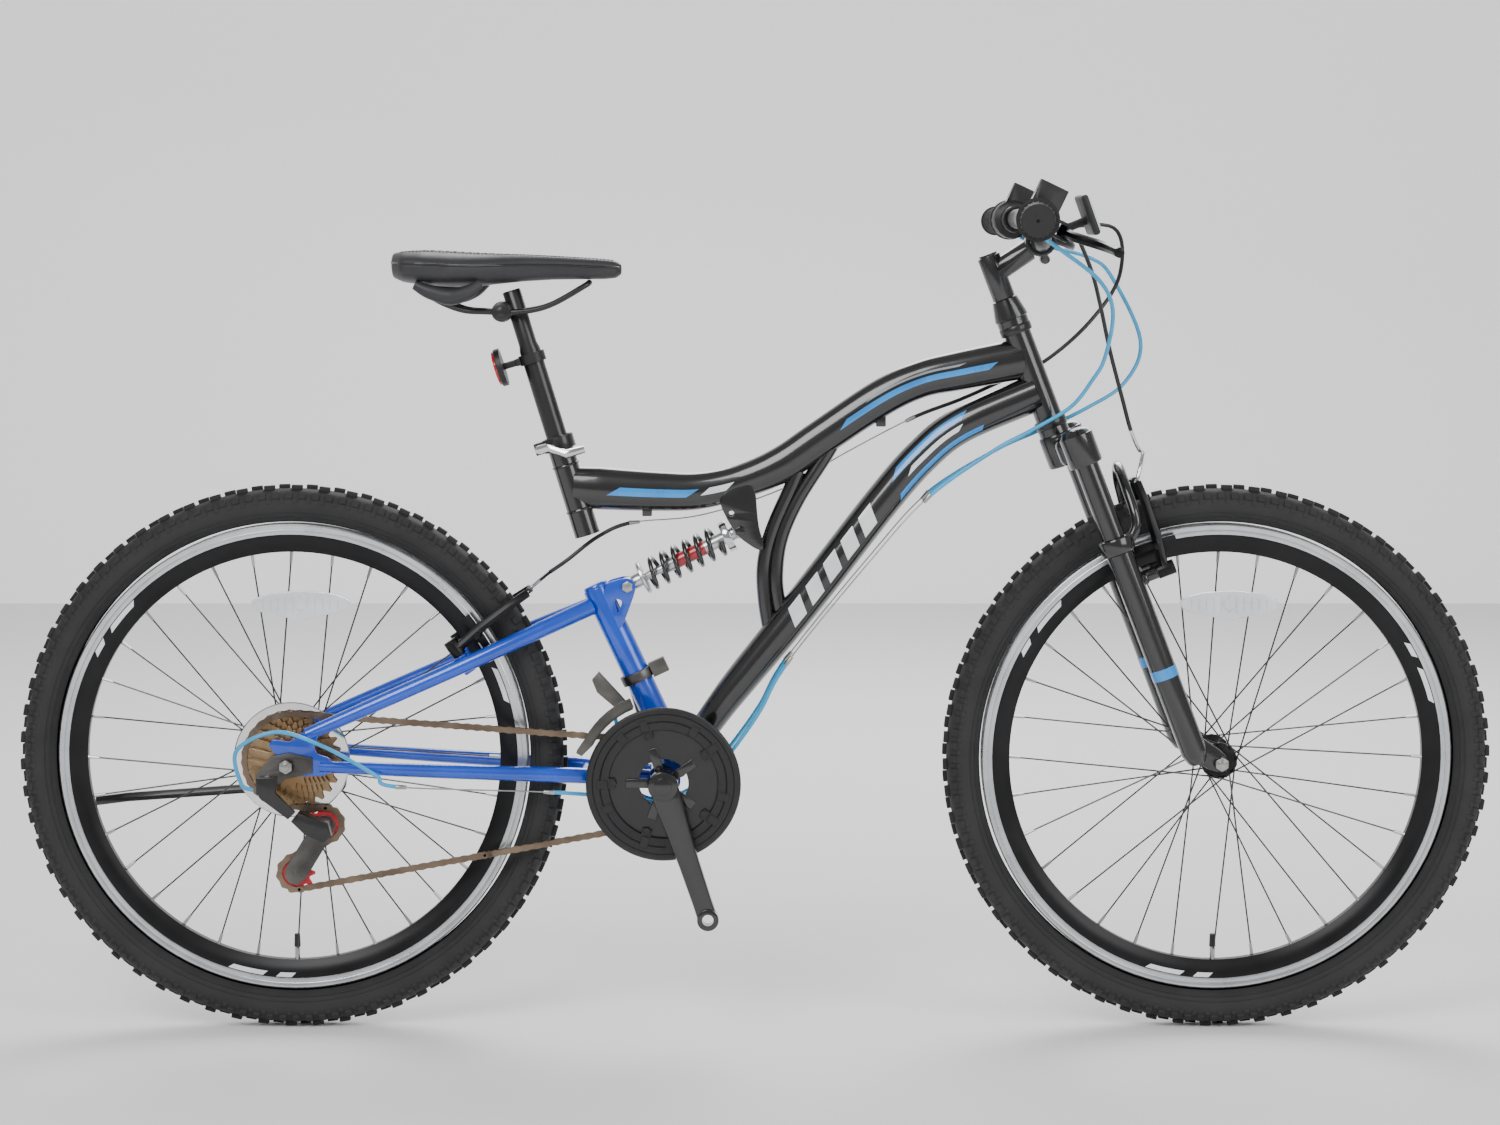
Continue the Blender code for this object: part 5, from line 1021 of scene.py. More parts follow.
# ---- shock -------------------------------------------------------------------------------------
def shock_unit():
    """Coil-over shock: painted spring, chrome spring seats, body with a printed band, eye blocks."""
    cylinder = rod(shock(0.05), shock(0.14), 0.0085, 40)
    cap = rod(shock(0.138), shock(0.144), 0.008, 40)
    eye = lathe([(0.0088, 0.01), (0.0044, 0.01), (0.0044, -0.01), (0.0088, -0.01)], SHOCK_FRONT, Y_AXIS, 40)
    cylinder = cut_from(cylinder, [rod(shock(0.03), shock(0.12), 0.0055, 32, None, 0)])
    done(join([cylinder, cap, eye]), "shock_cylinder", "shock_upper", "machined_aluminium",
         ("shock_body",), 35)
    collar = lathe([(0.019, 0.13), (0.0195, 0.1312), (0.0195, 0.1378), (0.019, 0.139), (0.0087, 0.139),
                    (0.0087, 0.13)], SHOCK_REAR, SHOCK_DIR, 64)
    done(collar, "shock_collar", "shock_upper", "chrome_plate")
    band = lathe([(0.0088, 0.066), (0.0088, 0.104), (0.0084, 0.104), (0.0084, 0.066)],
                 SHOCK_REAR, SHOCK_DIR, 48)
    done(band, "shock_print", "shock_upper", "red_decal")
    eye = lathe([(0.0095, 0.01), (0.0056, 0.01), (0.0056, -0.01), (0.0095, -0.01)], SHOCK_REAR, Y_AXIS, 48)
    stem = rod(shock(0.0075), shock(0.02), 0.0088, 32)
    seat_ring = lathe([(0.005, 0.019), (0.0195, 0.019), (0.0205, 0.02), (0.0205, 0.0228), (0.0195, 0.0236),
                       (0.005, 0.0236)], SHOCK_REAR, SHOCK_DIR, 64)
    shaft = rod(shock(0.018), shock(0.092), 0.005, 32)
    done(join([eye, stem, seat_ring, shaft]), "shock_shaft", "shock_lower", "machined_aluminium",
         ("shock_rod",), 35)
    across = Y_AXIS.cross(SHOCK_DIR)
    coil, turns, steps = [], 6.5, 28
    for k in range(int(turns * steps) + 1):
        angle = math.tau * k / steps
        rise = 0.0272 + 0.099 * k / (turns * steps)
        coil.append(shock(rise) + 0.018 * (math.cos(angle) * Y_AXIS + math.sin(angle) * across))
    spring = done(pipe(coil, 0.0028, None, 16), "coil_spring", "shock_upper", "black_enamel",
                  ("shock_spring",), 60)
    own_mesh(spring)


# ---- fork --------------------------------------------------------------------------------------
def fork():
    """Fork lowers: two legs with collars, the arch in front, stamped dropouts and brake bosses."""
    pieces = []
    for side in (-1, 1):
        foot = steer(LEG_AHEAD, side * LEG_Y, 0)
        section = [(0.0152, -0.145), (0.0205, -0.146), (0.0215, -0.148), (0.0215, -0.161), (0.02, -0.164),
                   (0.0162, -0.166), (0.0158, -0.3), (0.0156, -0.42), (0.012, -0.432), (0.0085, -0.436),
                   (0.001, -0.436), (0.001, -0.36), (0.0149, -0.36)]
        pieces.append(lathe(section, foot, STEER_UP, 48))
        outline = [(0.01, -0.395), (0.03, -0.405), (0.052, -0.436), (0.054, -0.452), (0.046, -0.46),
                   (0.03, -0.452), (0.012, -0.43)]
        tab = [(steer(f, 0, s).x, steer(f, 0, s).z) for f, s in outline]
        pieces.append(plate(rounded_outline(tab, 1), side * 0.05, side * 0.055, 0.0008,
                            [round_points(FRONT_AXLE, 0.0052, 24)]))
        boss = steer(BOSS_AHEAD, side * BOSS_Y, BOSS_UP)
        pieces.append(rod(boss - 0.034 * STEER_AHEAD, boss - 0.0085 * STEER_AHEAD, 0.0075, 32))
        pieces.append(rod(boss - 0.01 * STEER_AHEAD, boss + 0.01 * STEER_AHEAD, 0.005, 24))
        pieces.append(block(steer(0.03, side * 0.052, -0.206), (0.02, 0.026, 0.013),
                            axes(STEER_AHEAD, STEER_UP), 0.003))
    arch = [(0.034, 0.064, -0.156), (0.048, 0.062, -0.142), (0.052, 0.058, -0.125), (0.054, 0.044, -0.098),
            (0.056, 0.022, -0.08), (0.057, 0.0, -0.074)]
    arch += [(f, -y, s) for f, y, s in reversed(arch[:-1])]
    pieces.append(pipe(smooth([steer(*p) for p in arch]), 0.0061, None, 24))
    done(join(pieces), "fork_sliders", "lowers", "black_enamel", ("fork_lowers",), 35)
    band = [(0.01625, -0.325), (0.01625, -0.312), (0.0159, -0.312), (0.0159, -0.325)]
    bands = [lathe(band, steer(LEG_AHEAD, side * LEG_Y, 0), STEER_UP, 48) for side in (-1, 1)]
    done(join(bands), "fork_prints", "lowers", "blue_decal")


def crown():
    """Crown with domed leg caps, stanchions, the race below the head tube and the lock nut above it."""
    turn = axes(STEER_AHEAD, STEER_UP)
    pieces = [block(steer(0.01, 0, -0.0315), (0.036, 0.118, 0.034), turn, 0.009)]
    pieces.append(rod(steer(0, 0, -0.05), steer(0, 0, -0.01), 0.021, 48, None, 0.003))
    for side in (-1, 1):
        leg = steer(LEG_AHEAD, side * LEG_Y, 0)
        section = [(0.001, -0.007), (0.011, -0.0074), (0.0165, -0.01), (0.019, -0.014), (0.0205, -0.015),
                   (0.0205, -0.05), (0.0195, -0.052), (0.0143, -0.0522), (0.0143, -0.3), (0.001, -0.3)]
        pieces.append(lathe(section, leg, STEER_UP, 48))
    nut = [(0.019, 0.1295), (0.019, 0.137), (0.0205, 0.138), (0.02, 0.142), (0.0155, 0.162), (0.0116, 0.1622),
           (0.0116, 0.1295)]
    pieces.append(lathe(nut, STEER_FOOT, STEER_UP, 64))
    pieces.append(lathe([(0.0126, 0.13), (0.0126, -0.03), (0.0115, -0.03), (0.0115, 0.13)],
                        STEER_FOOT, STEER_UP, 48))
    pieces.append(lathe([(0.0185, -0.012), (0.0185, -0.0015), (0.012, -0.0015), (0.012, -0.012)],
                        STEER_FOOT, STEER_UP, 48))
    done(join(pieces), "fork_crown_set", "steering_body", "black_enamel", ("fork_crown",), 35)


# ---- handlebar and controls --------------------------------------------------------------------
BAR_LINE = [(0.34, 0.0, 0.955), (0.34, 0.028, 0.955), (0.334, 0.06, 0.97), (0.3295, 0.085, 0.98),
            (0.3279, 0.12, 0.9815), (0.322, 0.19, 0.9806), (0.311, 0.32, 0.979)]


def handlebar():
    """Riser bar with open ends closed by the grips."""
    bends = [Vector((x, -y, z)) for x, y, z in reversed(BAR_LINE[1:])] + [Vector(p) for p in BAR_LINE[1:]]
    done(pipe(smooth(bends, 6), 0.0126, None, 32), "riser_bar", "steering_body", "black_steel",
         ("handlebar",), 35)


def bar_axis(side):
    """A point on the straight outer part of the bar, and its outward direction."""
    inner = Vector((BAR_INNER[0], side * BAR_INNER[1], BAR_INNER[2]))
    outer = Vector((BAR_OUTER[0], side * BAR_OUTER[1], BAR_OUTER[2]))
    return inner, (outer - inner).normalized()


def grips_and_shifters():
    """Ribbed rubber grips, and twist shifters with ribs round them and a collar."""
    for side, word in ((-1, "right"), (1, "left")):
        inner, out = bar_axis(side)
        rings = [(0.0132, 0.0475), (0.0132, 0.12), (0.002, 0.12), (0.002, 0.125), (0.0178, 0.125),
                 (0.0187, 0.124), (0.0187, 0.1205), (0.0175, 0.1195)]
        ribs = 13
        for k in range(ribs):
            at = 0.118 - 0.0052 * k
            rings += [(0.0162, at), (0.0168, at - 0.0012), (0.0168, at - 0.0028), (0.0158, at - 0.004)]
        rings += [(0.0162, 0.049), (0.0158, 0.0475)]
        grip = lathe([(r, a) for r, a in rings], inner, out, 40)
        done(grip, f"ribbed_grip_{word}", "steering_body", "grip_rubber",
             (f"grip_{word}",), 35)
        shape = [(0.0132, 0.006), (0.0242, 0.006), (0.025, 0.007), (0.025, 0.012), (0.024, 0.0132),
                 (0.0203, 0.0138), (0.0196, 0.024), (0.0172, 0.0465), (0.0132, 0.047)]
        pieces = [lathe(shape, inner, out, 48)]
        across = out.cross(Vector((0, 0, 1))).normalized()
        above = across.cross(out).normalized()
        rib = rod(inner + 0.015 * out + 0.0198 * above, inner + 0.045 * out + 0.0172 * above,
                  0.0014, 8, 0.001, 0)
        places = [Matrix.Translation(inner) @ Matrix.Rotation(math.tau * k / 22, 4, out)
                  @ Matrix.Translation(-inner)
                  for k in range(22)]
        pieces.append(repeated(rib, places))
        done(join(pieces), f"ribbed_twist_{word}", f"twist_{word}", "grip_rubber",
             (f"twist_grip_{word}",), 35)
        window = inner - 0.01 * out + 0.043 * Vector((0.43, 0, 0.9)).normalized()
        turn = axes(Vector((0.9, 0, -0.43)), Vector((0.43, 0, 0.9)))
        pane = block(window, (0.024, 0.014, 0.0016), turn, 0.0005)
        done(pane, f"gear_window_{word}", "steering_body", "clear_reflector")


def front_reflector():
    """White prism reflector in its black tray, on an arm from the stem."""
    turn = axes(Vector((0.94, 0, 0.34)), Vector((-0.34, 0, 0.94)))
    centre = Vector((0.398, 0, 0.9865))
    ahead = turn.col[0]
    tray = block(centre - 0.001 * ahead, (0.0085, 0.09, 0.05), turn, 0.0035)
    arm = block(Vector((0.379, 0, 0.973)), (0.04, 0.014, 0.01), axes(Vector((1, 0, 0.4)), (0, 0, 1)), 0.0025)
    done(join([tray, arm]), "reflector_tray", "steering_body", "black_abs",
         ("front_reflector",), 35)
    lens = [block(centre + 0.0025 * ahead, (0.005, 0.084, 0.044), turn, 0.0016)]
    for k in range(-8, 9):
        lens.append(block(centre + 0.005 * ahead + 0.0048 * k * Y_AXIS, (0.001, 0.0036, 0.04), turn, 0.0004))
    done(join(lens), "reflector_lens", "steering_body", "clear_reflector", (), 35)


def rear_reflector():
    """Round red reflector on its clip."""
    clip = seat(0, 0, 0.223)
    face = clip - 0.036 * SEAT_AHEAD
    tray = lathe([(0.023, 0.0), (0.023, 0.006), (0.0222, 0.007), (0.001, 0.007), (0.001, 0.0)], face,
                 -SEAT_AHEAD, 64)
    ring = lathe([(0.016, 0.006), (0.016, -0.006), (0.013, -0.006), (0.013, 0.006)], clip, SEAT_UP, 48)
    turn = axes(SEAT_AHEAD, SEAT_UP)
    stalk = block(clip - 0.026 * SEAT_AHEAD, (0.024, 0.008, 0.008), turn, 0.0015)
    screw = block(clip - 0.017 * SEAT_AHEAD, (0.006, 0.02, 0.009), turn, 0.0012)
    done(join([tray, ring, stalk, screw]), "rear_reflector_holder", "seatpost_body",
         "black_abs",
         ("rear_reflector",), 35)
    lens = [lathe([(0.021, 0.0068), (0.0205, 0.0096), (0.001, 0.01), (0.001, 0.0068)], face, -SEAT_AHEAD, 64)]
    for k in range(1, 5):
        ring_r = 0.0042 * k
        lens.append(lathe([(ring_r + 0.0006, 0.0096), (ring_r, 0.0104), (ring_r - 0.0006, 0.0096)],
                          face, -SEAT_AHEAD, 48))
    done(join(lens), "rear_reflector_lens", "seatpost_body", "red_reflector", (), 35)


# ---- saddle and post ---------------------------------------------------------------------------
SADDLE = [(-0.4335, 0.02, 0.92, 0.936), (-0.43, 0.046, 0.911, 0.9415), (-0.418, 0.066, 0.906, 0.9442),
          (-0.395, 0.073, 0.903, 0.945), (-0.365, 0.069, 0.9005, 0.9438), (-0.335, 0.054, 0.9005, 0.942),
          (-0.305, 0.037, 0.904, 0.9408), (-0.275, 0.0285, 0.907, 0.9398), (-0.24, 0.0235, 0.909, 0.938),
          (-0.205, 0.0205, 0.9095, 0.9358), (-0.18, 0.0185, 0.9095, 0.934), (-0.166, 0.0145, 0.911, 0.932),
          (-0.1595, 0.006, 0.916, 0.927)]


def saddle_point(x, around):
    """A point on the saddle's skin. around runs from 0, the left edge, through pi / 2, the top."""
    for (x0, w0, l0, h0), (x1, w1, l1, h1) in zip(SADDLE, SADDLE[1:]):
        if x0 <= x <= x1:
            t = (x - x0) / (x1 - x0)
            half, low, high = w0 + (w1 - w0) * t, l0 + (l1 - l0) * t, h0 + (h1 - h0) * t
            break
    c, s = math.cos(around), math.sin(around)
    y = half * math.copysign(abs(c) ** 0.62, c)
    z = (low + high) / 2 + (high - low) / 2 * math.copysign(abs(s) ** 0.8, s)
    return Vector((x, y, z))


def saddle():
    """Padded vinyl cover: crowned, with sewn seams, gloss piping and a perforated middle panel."""
    around, points, faces = 40, [], []
    xs = [a[0] + (b[0] - a[0]) * k / 4 for a, b in zip(SADDLE, SADDLE[1:])
          for k in range(4)] + [SADDLE[-1][0]]
    for x in xs:
        for k in range(around):
            angle = math.tau * (k + 0.5) / around
            p = saddle_point(x, angle)
            if 0 < angle < math.pi:
                groove = min(abs(angle - math.pi * 0.36), abs(angle - math.pi * 0.64))
                p.z -= 0.0012 * math.exp(-(groove / 0.05) ** 2)
                middle = abs(angle - math.pi / 2)
                p.z -= 0.0016 * math.exp(-(middle / 0.16) ** 2)
            points.append(p)
    rows = len(xs)
    for a in range(rows - 1):
        for k in range(around):
            b = (k + 1) % around
            faces.append((a * around + k, a * around + b, (a + 1) * around + b, (a + 1) * around + k))
    faces += [tuple(range(around)), tuple(range(rows * around - 1, (rows - 1) * around - 1, -1))]
    made = face_out(from_points(points, (), faces))
    only(made)
    soften = made.modifiers.new("soften", "SUBSURF")
    soften.levels = soften.render_levels = 1
    bpy.ops.object.modifier_apply(modifier="soften")
    wings = []
    for side in (-1, 1):
        wing = [(-0.402, side * 0.058, 0.904), (-0.385, side * 0.0585, 0.896), (-0.36, side * 0.0575, 0.89),
                (-0.34, side * 0.0545, 0.895), (-0.325, side * 0.05, 0.905)]
        wings.append(pipe(smooth(wing), 0.0095, spread([0.6, 0.9, 1.1, 0.9, 0.6]), 20))
    cover = done(join([made, *wings]), "saddle_cover", "saddle_body",
                 "saddle_vinyl", ("saddle",), 60)
    stitches, piping = [], []
    for angle in (math.pi * 0.36, math.pi * 0.64):
        x = -0.42
        while x < -0.172:
            a, b = saddle_point(x, angle), saddle_point(x + 0.003, angle)
            for shift in (-0.0016, 0.0016):
                lift = Vector((0, shift, 0.0002))
                stitches.append(rod(a + lift, b + lift, 0.00045, 5, None, 0))
            x += 0.0045
    done(join(stitches), "saddle_stitches", "saddle_body", "gloss_vinyl", (), 40)
    for angle in (0.16, math.pi - 0.16):
        line = [saddle_point(x, angle) for x in xs[2:-2]]
        piping.append(pipe(line, 0.0014, None, 10))
    done(join(piping), "saddle_piping", "saddle_body", "gloss_vinyl", (), 40)
    dots = []
    for i in range(22):
        for j in range(-1, 2):
            p = saddle_point(-0.395 + 0.009 * i, math.pi / 2 + 0.07 * j)
            dots.append(rod(p - Vector((0, 0, 0.0016)), p + Vector((0, 0, -0.0004 - 0.0007 * (j == 0))),
                            0.0011, 8, None, 0))
    done(join(dots), "saddle_perforations", "saddle_body", "gloss_vinyl", (), 40)


def rails_and_post():
    """Bent steel rails held by the clamp, and the post with its narrower neck."""
    bolt = Vector((-0.3024, 0, 0.8709))
    pieces = [cross_rod(bolt, -0.031, 0.031, 0.004, 24)]
    for side in (-1, 1):
        pieces.append(cross_rod(bolt, side * 0.0123, side * 0.029, 0.0115, 40, 0.0012))
        pieces.append(cross_rod(bolt, side * 0.029, side * 0.0315, 0.0065, 6, 0.0004))
        rail = [(-0.39, side * 0.042, 0.899), (-0.378, side * 0.04, 0.886), (-0.35, side * 0.03, 0.874),
                (-0.324, side * 0.023, 0.8714), (-0.28, side * 0.0226, 0.8714), (-0.245, side * 0.02, 0.879),
                (-0.205, side * 0.01, 0.901), (-0.198, side * 0.002, 0.906)]
        pieces.append(pipe(smooth(rail), 0.0035, None, 16))
    done(join(pieces), "saddle_rail_set", "saddle_body", "black_steel", ("saddle_rails",), 35)
    post = lathe([(0.0127, 0.045), (0.0127, 0.233), (0.011, 0.24), (0.011, 0.306), (0.01, 0.3075),
                  (0.001, 0.3075), (0.001, 0.045)], SEAT_FOOT, SEAT_UP, 64)
    lug = cross_rod(bolt, -0.012, 0.012, 0.0125, 48, 0.001)
    done(join([post, lug]), "seat_pillar", "seatpost_body", "black_steel", ("seatpost",), 35)


# ---- cables ------------------------------------------------------------------------------------
REAR_BRAKE = [(0.37, 0.152, 0.97), (0.4432, 0.13, 0.9704), (0.4453, 0.08, 0.913), (0.4065, 0.05, 0.8573),
              (0.3508, 0.04, 0.8096), (0.299, 0.038, 0.786), (0.248, 0.028, 0.764), (0.19, 0.022, 0.742),
              (0.11, 0.023, 0.7), (0.0306, 0.023, 0.655), (-0.0661, 0.024, 0.624), (-0.1485, 0.026, 0.615),
              (-0.19, 0.025, 0.598), (-0.228, 0.02, 0.5694), (-0.248, 0.012, 0.556)]
FRONT_BRAKE = [(0.37, -0.15, 0.964), (0.392, -0.11, 0.92), (0.407, -0.07, 0.8778),
               (0.4205, -0.05, 0.8262), (0.4373, -0.04, 0.7673), (0.4479, -0.035, 0.731),
               (0.459, -0.02, 0.708), (0.466, -0.008, 0.702)]
REAR_SHIFT = [(0.332, -0.175, 0.9585), (0.35, -0.154, 0.947), (0.4, -0.12, 0.91),
              (0.4187, -0.095, 0.8724), (0.4132, -0.065, 0.8189), (0.3994, -0.055, 0.7912),
              (0.3749, -0.045, 0.7588), (0.33, -0.036, 0.731), (0.2857, -0.028, 0.706),
              (0.2079, -0.024, 0.65), (0.14, -0.024, 0.575), (0.039, -0.024, 0.45),
              (0.0052, -0.026, 0.39), (-0.03, -0.029, 0.34), (-0.064, -0.024, 0.298),
              (-0.11, -0.024, 0.279), (-0.15, -0.03, 0.285), (-0.2451, -0.048, 0.296),
              (-0.4252, -0.07, 0.306), (-0.45, -0.078, 0.32), (-0.4727, -0.083, 0.3349),
              (-0.518, -0.088, 0.3601), (-0.5677, -0.1, 0.377), (-0.6145, -0.098, 0.3547),
              (-0.6111, -0.09, 0.3137), (-0.5978, -0.087, 0.305)]
FRONT_SHIFT = [(0.332, 0.175, 0.9585), (0.362, 0.156, 0.948), (0.4165, 0.14, 0.933), (0.4412, 0.12, 0.9084),
               (0.4717, 0.08, 0.8337), (0.4507, 0.056, 0.7838), (0.4, 0.037, 0.752), (0.3428, 0.03, 0.726),
               (0.29, 0.027, 0.702), (0.2079, 0.024, 0.65), (0.14, 0.024, 0.575), (0.039, 0.024, 0.45),
               (0.0052, 0.026, 0.39), (-0.03, 0.029, 0.34), (-0.064, 0.024, 0.298),
               (-0.11, 0.006, 0.279), (-0.145, 0.0, 0.29), (-0.16, 0.0, 0.34), (-0.172, -0.004, 0.39)]


def cable_part(name, route, first, last, radius, material, body, replaces=(), bend=None):
    """A stretch of cable between two of its route's points. bend is (body, body, start point, end point); its
    parts are not used, and a stretch given one is taken off its body.
    """
    whole = smooth(route, 8)
    piece = pipe(whole[8 * first:8 * last + 1], radius, None, 12)
    done(piece, name, body, material, replaces, 50)
    if bend:
        free(piece)
        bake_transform(piece)
    return piece


def noodle(word, body, start, low, far):
    """The bent metal guide above a V-brake, its rubber boot and the bare wire between the arms."""
    bend = [start, start.lerp(low, 0.5) + 0.3 * (low - far), low + 0.35 * (low - far), low]
    done(pipe(smooth(bend), 0.0024, None, 12), f"{word}_brake_noodle", body, "chrome_plate")
    boot = rod(low, low.lerp(far, 0.55), 0.0042, 16, 0.003, 0.0006)
    done(boot, f"{word}_brake_boot", body, "grip_rubber", (), 40)
    done(rod(low, far, 0.0008, 8, None, 0), f"{word}_brake_link_wire", body,
         "zinc_plate", (), 40)


def cables(sizes):
    """Four cables in their housings, with bare inner wire and metal ferrules where the housing stops."""
    r, wire, sleeve = sizes.housing_radius, 0.0009, 0.0031
    ferrules = {"frame": [], "swing": [], "steering_body": [], "lowers": []}

    def ferrule(body, route, index, toward):
        a, b = Vector(route[index]), Vector(route[toward])
        ahead = (b - a).normalized()
        ferrules[body].append(rod(a - 0.004 * ahead, a + 0.009 * ahead, sleeve, 16, 0.0024, 0.0004))

    cable_part("rear_brake_housing", REAR_BRAKE, 0, 7, r, "black_housing", "frame",
               ("rear_brake_cable",), ("frame", "steering_body", REAR_BRAKE[6], REAR_BRAKE[1]))
    cable_part("rear_brake_wire", REAR_BRAKE, 7, 11, wire, "zinc_plate", "frame")
    cable_part("rear_brake_tail", REAR_BRAKE, 11, 14, r, "black_housing", "frame", (),
               ("frame", "swing", REAR_BRAKE[11], REAR_BRAKE[14]))
    ferrule("frame", REAR_BRAKE, 7, 8)
    ferrule("frame", REAR_BRAKE, 11, 10)
    cable_part("front_brake_housing", FRONT_BRAKE, 0, 5, r, "black_housing", "steering_body",
               ("front_brake_cable",), ("steering_body", "lowers", FRONT_BRAKE[1], FRONT_BRAKE[5]))
    cable_part("front_brake_stay", FRONT_BRAKE, 5, 7, 0.0024, "chrome_plate", "lowers")
    front_end, rear_end = Vector(FRONT_BRAKE[-1]), Vector(REAR_BRAKE[-1])
    noodle("front", "lowers", front_end, steer(0.07, -0.012, -0.097), steer(0.07, 0.019, -0.097))
    tops = REAR_AXLE + 0.35 * Vector((math.cos(REAR_BOSS_ANGLE), 0, math.sin(REAR_BOSS_ANGLE)))
    tops += 0.008 * Vector((-math.sin(REAR_BOSS_ANGLE), 0, math.cos(REAR_BOSS_ANGLE)))
    noodle("rear", "swing", rear_end, tops + Vector((0, 0.012, 0)), tops - Vector((0, 0.019, 0)))
    cable_part("rear_shift_housing", REAR_SHIFT, 0, 9, r, "blue_housing", "frame",
               ("rear_shift_cable",), ("frame", "steering_body", REAR_SHIFT[8], REAR_SHIFT[2]))
    cable_part("rear_shift_wire", REAR_SHIFT, 9, 11, wire, "zinc_plate", "frame")
    cable_part("rear_shift_pivot_loop", REAR_SHIFT, 11, 17, r, "blue_housing", "frame", (),
               ("frame", "swing", REAR_SHIFT[11], REAR_SHIFT[14]))
    cable_part("rear_shift_stay_wire", REAR_SHIFT, 17, 18, wire, "zinc_plate", "swing")
    cable_part("rear_shift_loop", REAR_SHIFT, 18, 25, r, "blue_housing", "swing")
    ferrule("frame", REAR_SHIFT, 9, 10)
    ferrule("frame", REAR_SHIFT, 11, 10)
    ferrule("swing", REAR_SHIFT, 17, 18)
    ferrule("swing", REAR_SHIFT, 18, 17)
    cable_part("front_shift_housing", FRONT_SHIFT, 0, 9, r, "blue_housing", "frame",
               ("front_shift_cable",), ("frame", "steering_body", FRONT_SHIFT[8], FRONT_SHIFT[2]))
    cable_part("front_shift_wire", FRONT_SHIFT, 9, 11, wire, "zinc_plate", "frame")
    cable_part("front_shift_pivot_loop", FRONT_SHIFT, 11, 18, r, "blue_housing", "frame", (),
               ("frame", "swing", FRONT_SHIFT[11], FRONT_SHIFT[14]))
    ferrule("frame", FRONT_SHIFT, 9, 10)
    ferrule("frame", FRONT_SHIFT, 11, 10)
    for body, items in ferrules.items():
        if items:
            done(join(items), f"ferrules_on_{body}", body, "zinc_plate")


# ---- stage -------------------------------------------------------------------------------------
def stage(colours):
    clear_selection()
    bpy.ops.mesh.primitive_plane_add(size=14, location=(0, 0, 0))
    floor = bpy.context.object
    floor.name = "floor"
    back = bpy.data.materials.new("floor_paper")
    back.use_nodes = True
    shader = back.node_tree.nodes["Principled BSDF"]
    shader.inputs["Base Color"].default_value = (*colours.floor, 1)
    shader.inputs["Roughness"].default_value = 0.9
    floor.data.materials.append(back)
    bpy.ops.mesh.primitive_plane_add(size=20, location=(0, 4.5, 0), rotation=(math.pi / 2, 0, 0))
    wall = bpy.context.object
    wall.name = "backdrop"
    glow = bpy.data.materials.new("backdrop_paper")
    glow.use_nodes = True
    paper = glow.node_tree.nodes["Principled BSDF"]
    paper.inputs["Base Color"].default_value = (*colours.floor, 1)
    paper.inputs["Emission Color"].default_value = (*colours.floor, 1)
    paper.inputs["Emission Strength"].default_value = 0.45
    wall.data.materials.append(glow)
    world = bpy.data.worlds.new("studio")
    bpy.context.scene.world = world
    world.use_nodes = True
    world.node_tree.nodes["Background"].inputs["Color"].default_value = (1.0, 1.0, 1.0, 1.0)
    world.node_tree.nodes["Background"].inputs["Strength"].default_value = 0.42
    for name, place, energy, size in (("key_light", (-1.6, -3.2, 3.2), 120, 2.2),
                                      ("fill_light", (2.6, -2.4, 2.0), 55, 2.0),
                                      ("rim_light", (0.4, 2.6, 3.0), 110, 2.2)):
        lamp = bpy.data.lights.new(name, "AREA")
        lamp.energy, lamp.size = energy, size
        held = bpy.data.objects.new(name, lamp)
        held.location = place
        held.rotation_euler = (Vector((0, 0, 0.5)) - Vector(place)).to_track_quat("-Z", "Y").to_euler()
        bpy.context.scene.collection.objects.link(held)
    lens = bpy.data.cameras.new("camera")
    lens.sensor_width, lens.lens = 36, 79.9
    camera = bpy.data.objects.new("camera", lens)
    camera.location = (-0.006, -4.0, 0.98)
    camera.rotation_euler = (Vector((-0.006, 0, 0.5686))
                             - camera.location).to_track_quat("-Z", "Y").to_euler()
    bpy.context.scene.collection.objects.link(camera)
    bpy.context.scene.camera = camera


# ---- operators ---------------------------------------------------------------------------------
class MakeWheels(bpy.types.Operator):
    """Build both wheels: tyre, rim, spokes, reflectors and rear hub"""

    bl_idname, bl_label = "mountain_bike.wheels", "Wheels"

    def execute(self, context):
        sizes = context.scene.bike_wheels
        for prefix, centre, flanges in (("front", FRONT_AXLE, (-0.033, 0.033)),
                                        ("rear", REAR_AXLE, (-0.0205, 0.033))):
            tyre(prefix, centre, f"{prefix}_wheel", sizes)
            rim(prefix, centre, f"{prefix}_wheel")
            spokes(prefix, centre, f"{prefix}_wheel", flanges, sizes)
        rear_hub()
        return {"FINISHED"}


class MakeDrivetrain(bpy.types.Operator):
    """Build the sprockets, rings, guard, cranks, pulleys and chain"""

    bl_idname, bl_label = "mountain_bike.drivetrain", "Drivetrain"

    def execute(self, context):
        freewheel()
        chainrings()
        crank(-1, 0.0665, 0.083, "crank_arm_right", "crank_right")
        crank(1, 0.062, 0.0785, "crank_arm_left", "crank_left")
        pulleys()
        put_chain()
        return {"FINISHED"}


class MakeFrame(bpy.types.Operator):
    """Build the main frame, its prints, the swingarm and the shock"""

    bl_idname, bl_label = "mountain_bike.frame", "Frame, swingarm and shock"

    def execute(self, context):
        main_frame()
        frame_prints()
        swingarm()
        shock_unit()
        return {"FINISHED"}


class MakeFork(bpy.types.Operator):
    """Build the fork's crown and sliders"""

    bl_idname, bl_label = "mountain_bike.fork", "Fork"

    def execute(self, context):
        crown()
        fork()
        return {"FINISHED"}


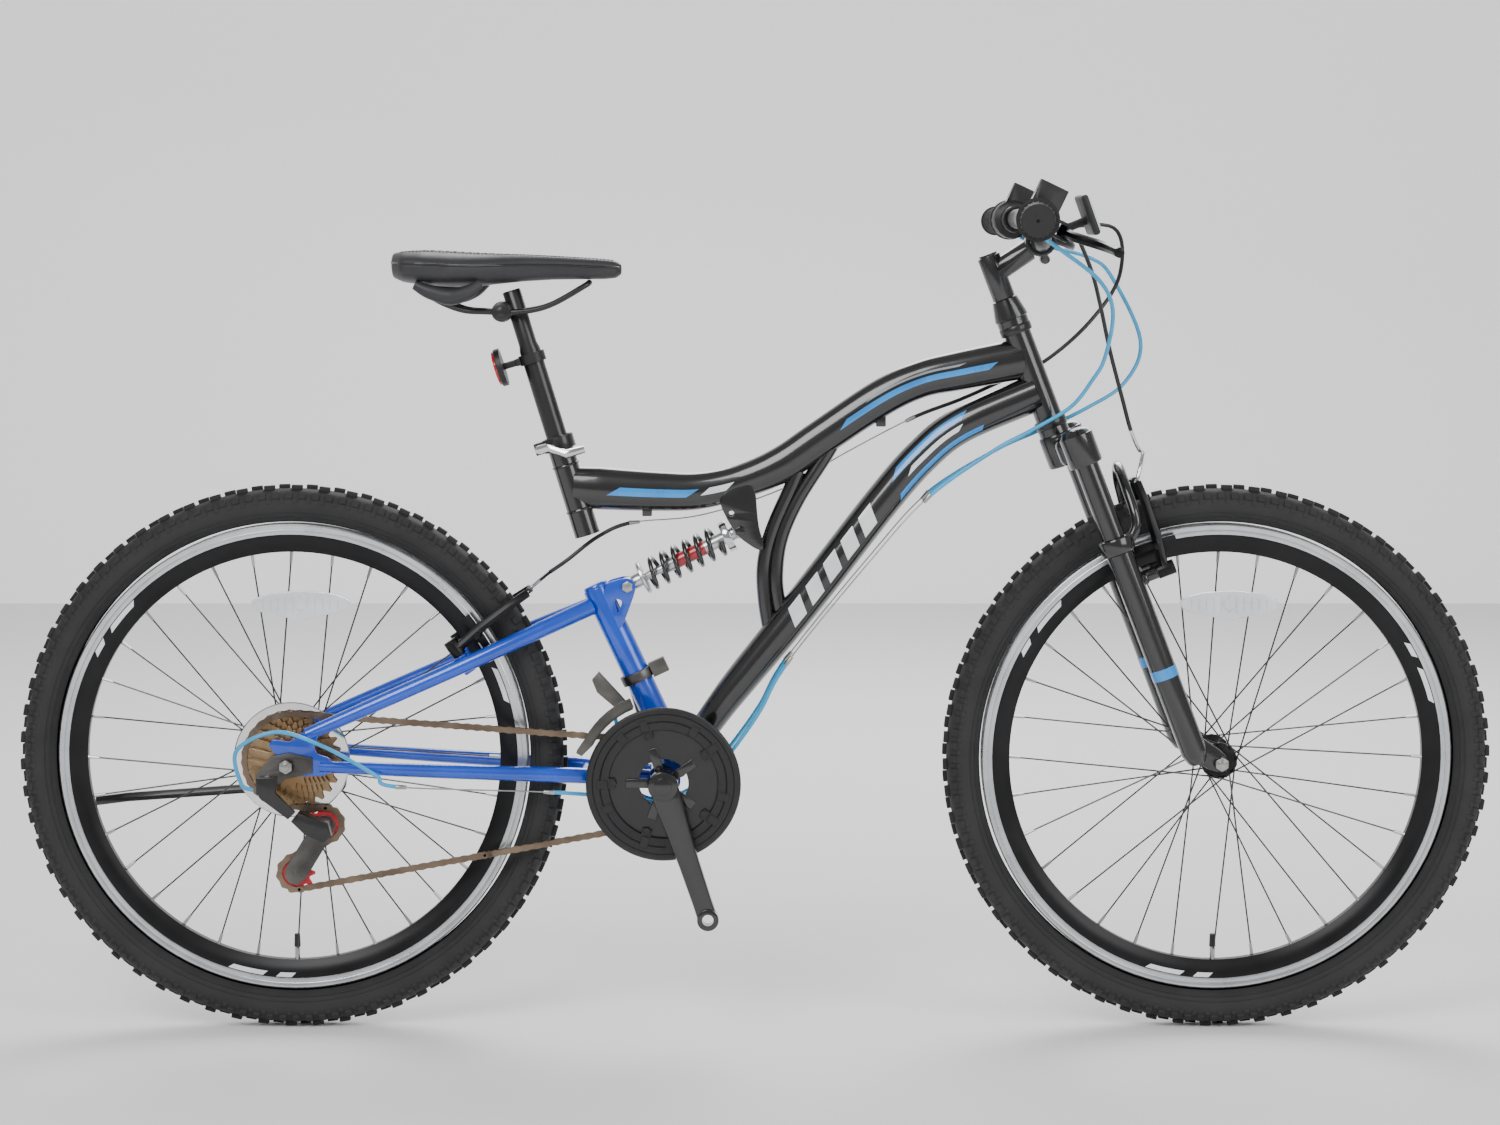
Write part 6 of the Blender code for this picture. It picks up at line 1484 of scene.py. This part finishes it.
class MakeControls(bpy.types.Operator):
    """Build the handlebar, grips, shifters and front reflector"""

    bl_idname, bl_label = "mountain_bike.controls", "Handlebar and controls"

    def execute(self, context):
        handlebar()
        grips_and_shifters()
        front_reflector()
        return {"FINISHED"}


class MakeSaddle(bpy.types.Operator):
    """Build the saddle, its rails, the post and the rear reflector"""

    bl_idname, bl_label = "mountain_bike.saddle", "Saddle and post"

    def execute(self, context):
        saddle()
        rails_and_post()
        rear_reflector()
        return {"FINISHED"}


class MakeCables(bpy.types.Operator):
    """Build the four cables"""

    bl_idname, bl_label = "mountain_bike.cables", "Cables"

    def execute(self, context):
        cables(context.scene.bike_cables)
        return {"FINISHED"}


class FinishFittings(bpy.types.Operator):
    """Give the small fittings their softened edges and real finishes"""

    bl_idname, bl_label = "mountain_bike.fittings", "Small fittings"

    def execute(self, context):
        for node in CARRIED:
            if node != "fork_crown":
                carried(node)
        return {"FINISHED"}


class MakeStage(bpy.types.Operator):
    """Add the floor, the lights and the camera"""

    bl_idname, bl_label = "mountain_bike.stage", "Stage"

    def execute(self, context):
        stage(context.scene.bike_stage)
        return {"FINISHED"}


OPERATORS = (MakeStage, MakeFrame, MakeFork, MakeWheels, MakeDrivetrain, MakeControls, MakeSaddle, MakeCables,
             FinishFittings)
GROUPS = ((WheelSizes, "bike_wheels"), (CableSizes, "bike_cables"), (StageColours, "bike_stage"))


class BikePanel(bpy.types.Panel):
    """Sizes, colours and build steps of the bike"""

    bl_idname, bl_label = "VIEW3D_PT_mountain_bike", "Mountain bike"
    bl_space_type, bl_region_type, bl_category = "VIEW_3D", "UI", "Mountain bike"

    def draw(self, context):
        for group, name in GROUPS:
            for field in group.__annotations__:
                self.layout.prop(getattr(context.scene, name), field)
        for step in OPERATORS:
            self.layout.operator(step.bl_idname)


def register():
    for group, name in GROUPS:
        bpy.utils.register_class(group)
        setattr(bpy.types.Scene, name, bpy.props.PointerProperty(type=group))
    for step in (*OPERATORS, BikePanel):
        bpy.utils.register_class(step)


def unregister():
    for step in reversed((*OPERATORS, BikePanel)):
        bpy.utils.unregister_class(step)
    for group, name in reversed(GROUPS):
        delattr(bpy.types.Scene, name)
        bpy.utils.unregister_class(group)


def main():
    register()
    MATERIALS.update(make_materials())
    for step in OPERATORS:
        getattr(bpy.ops.mountain_bike, step.bl_idname.split(".")[1])()


if __name__ == "__main__":
    main()
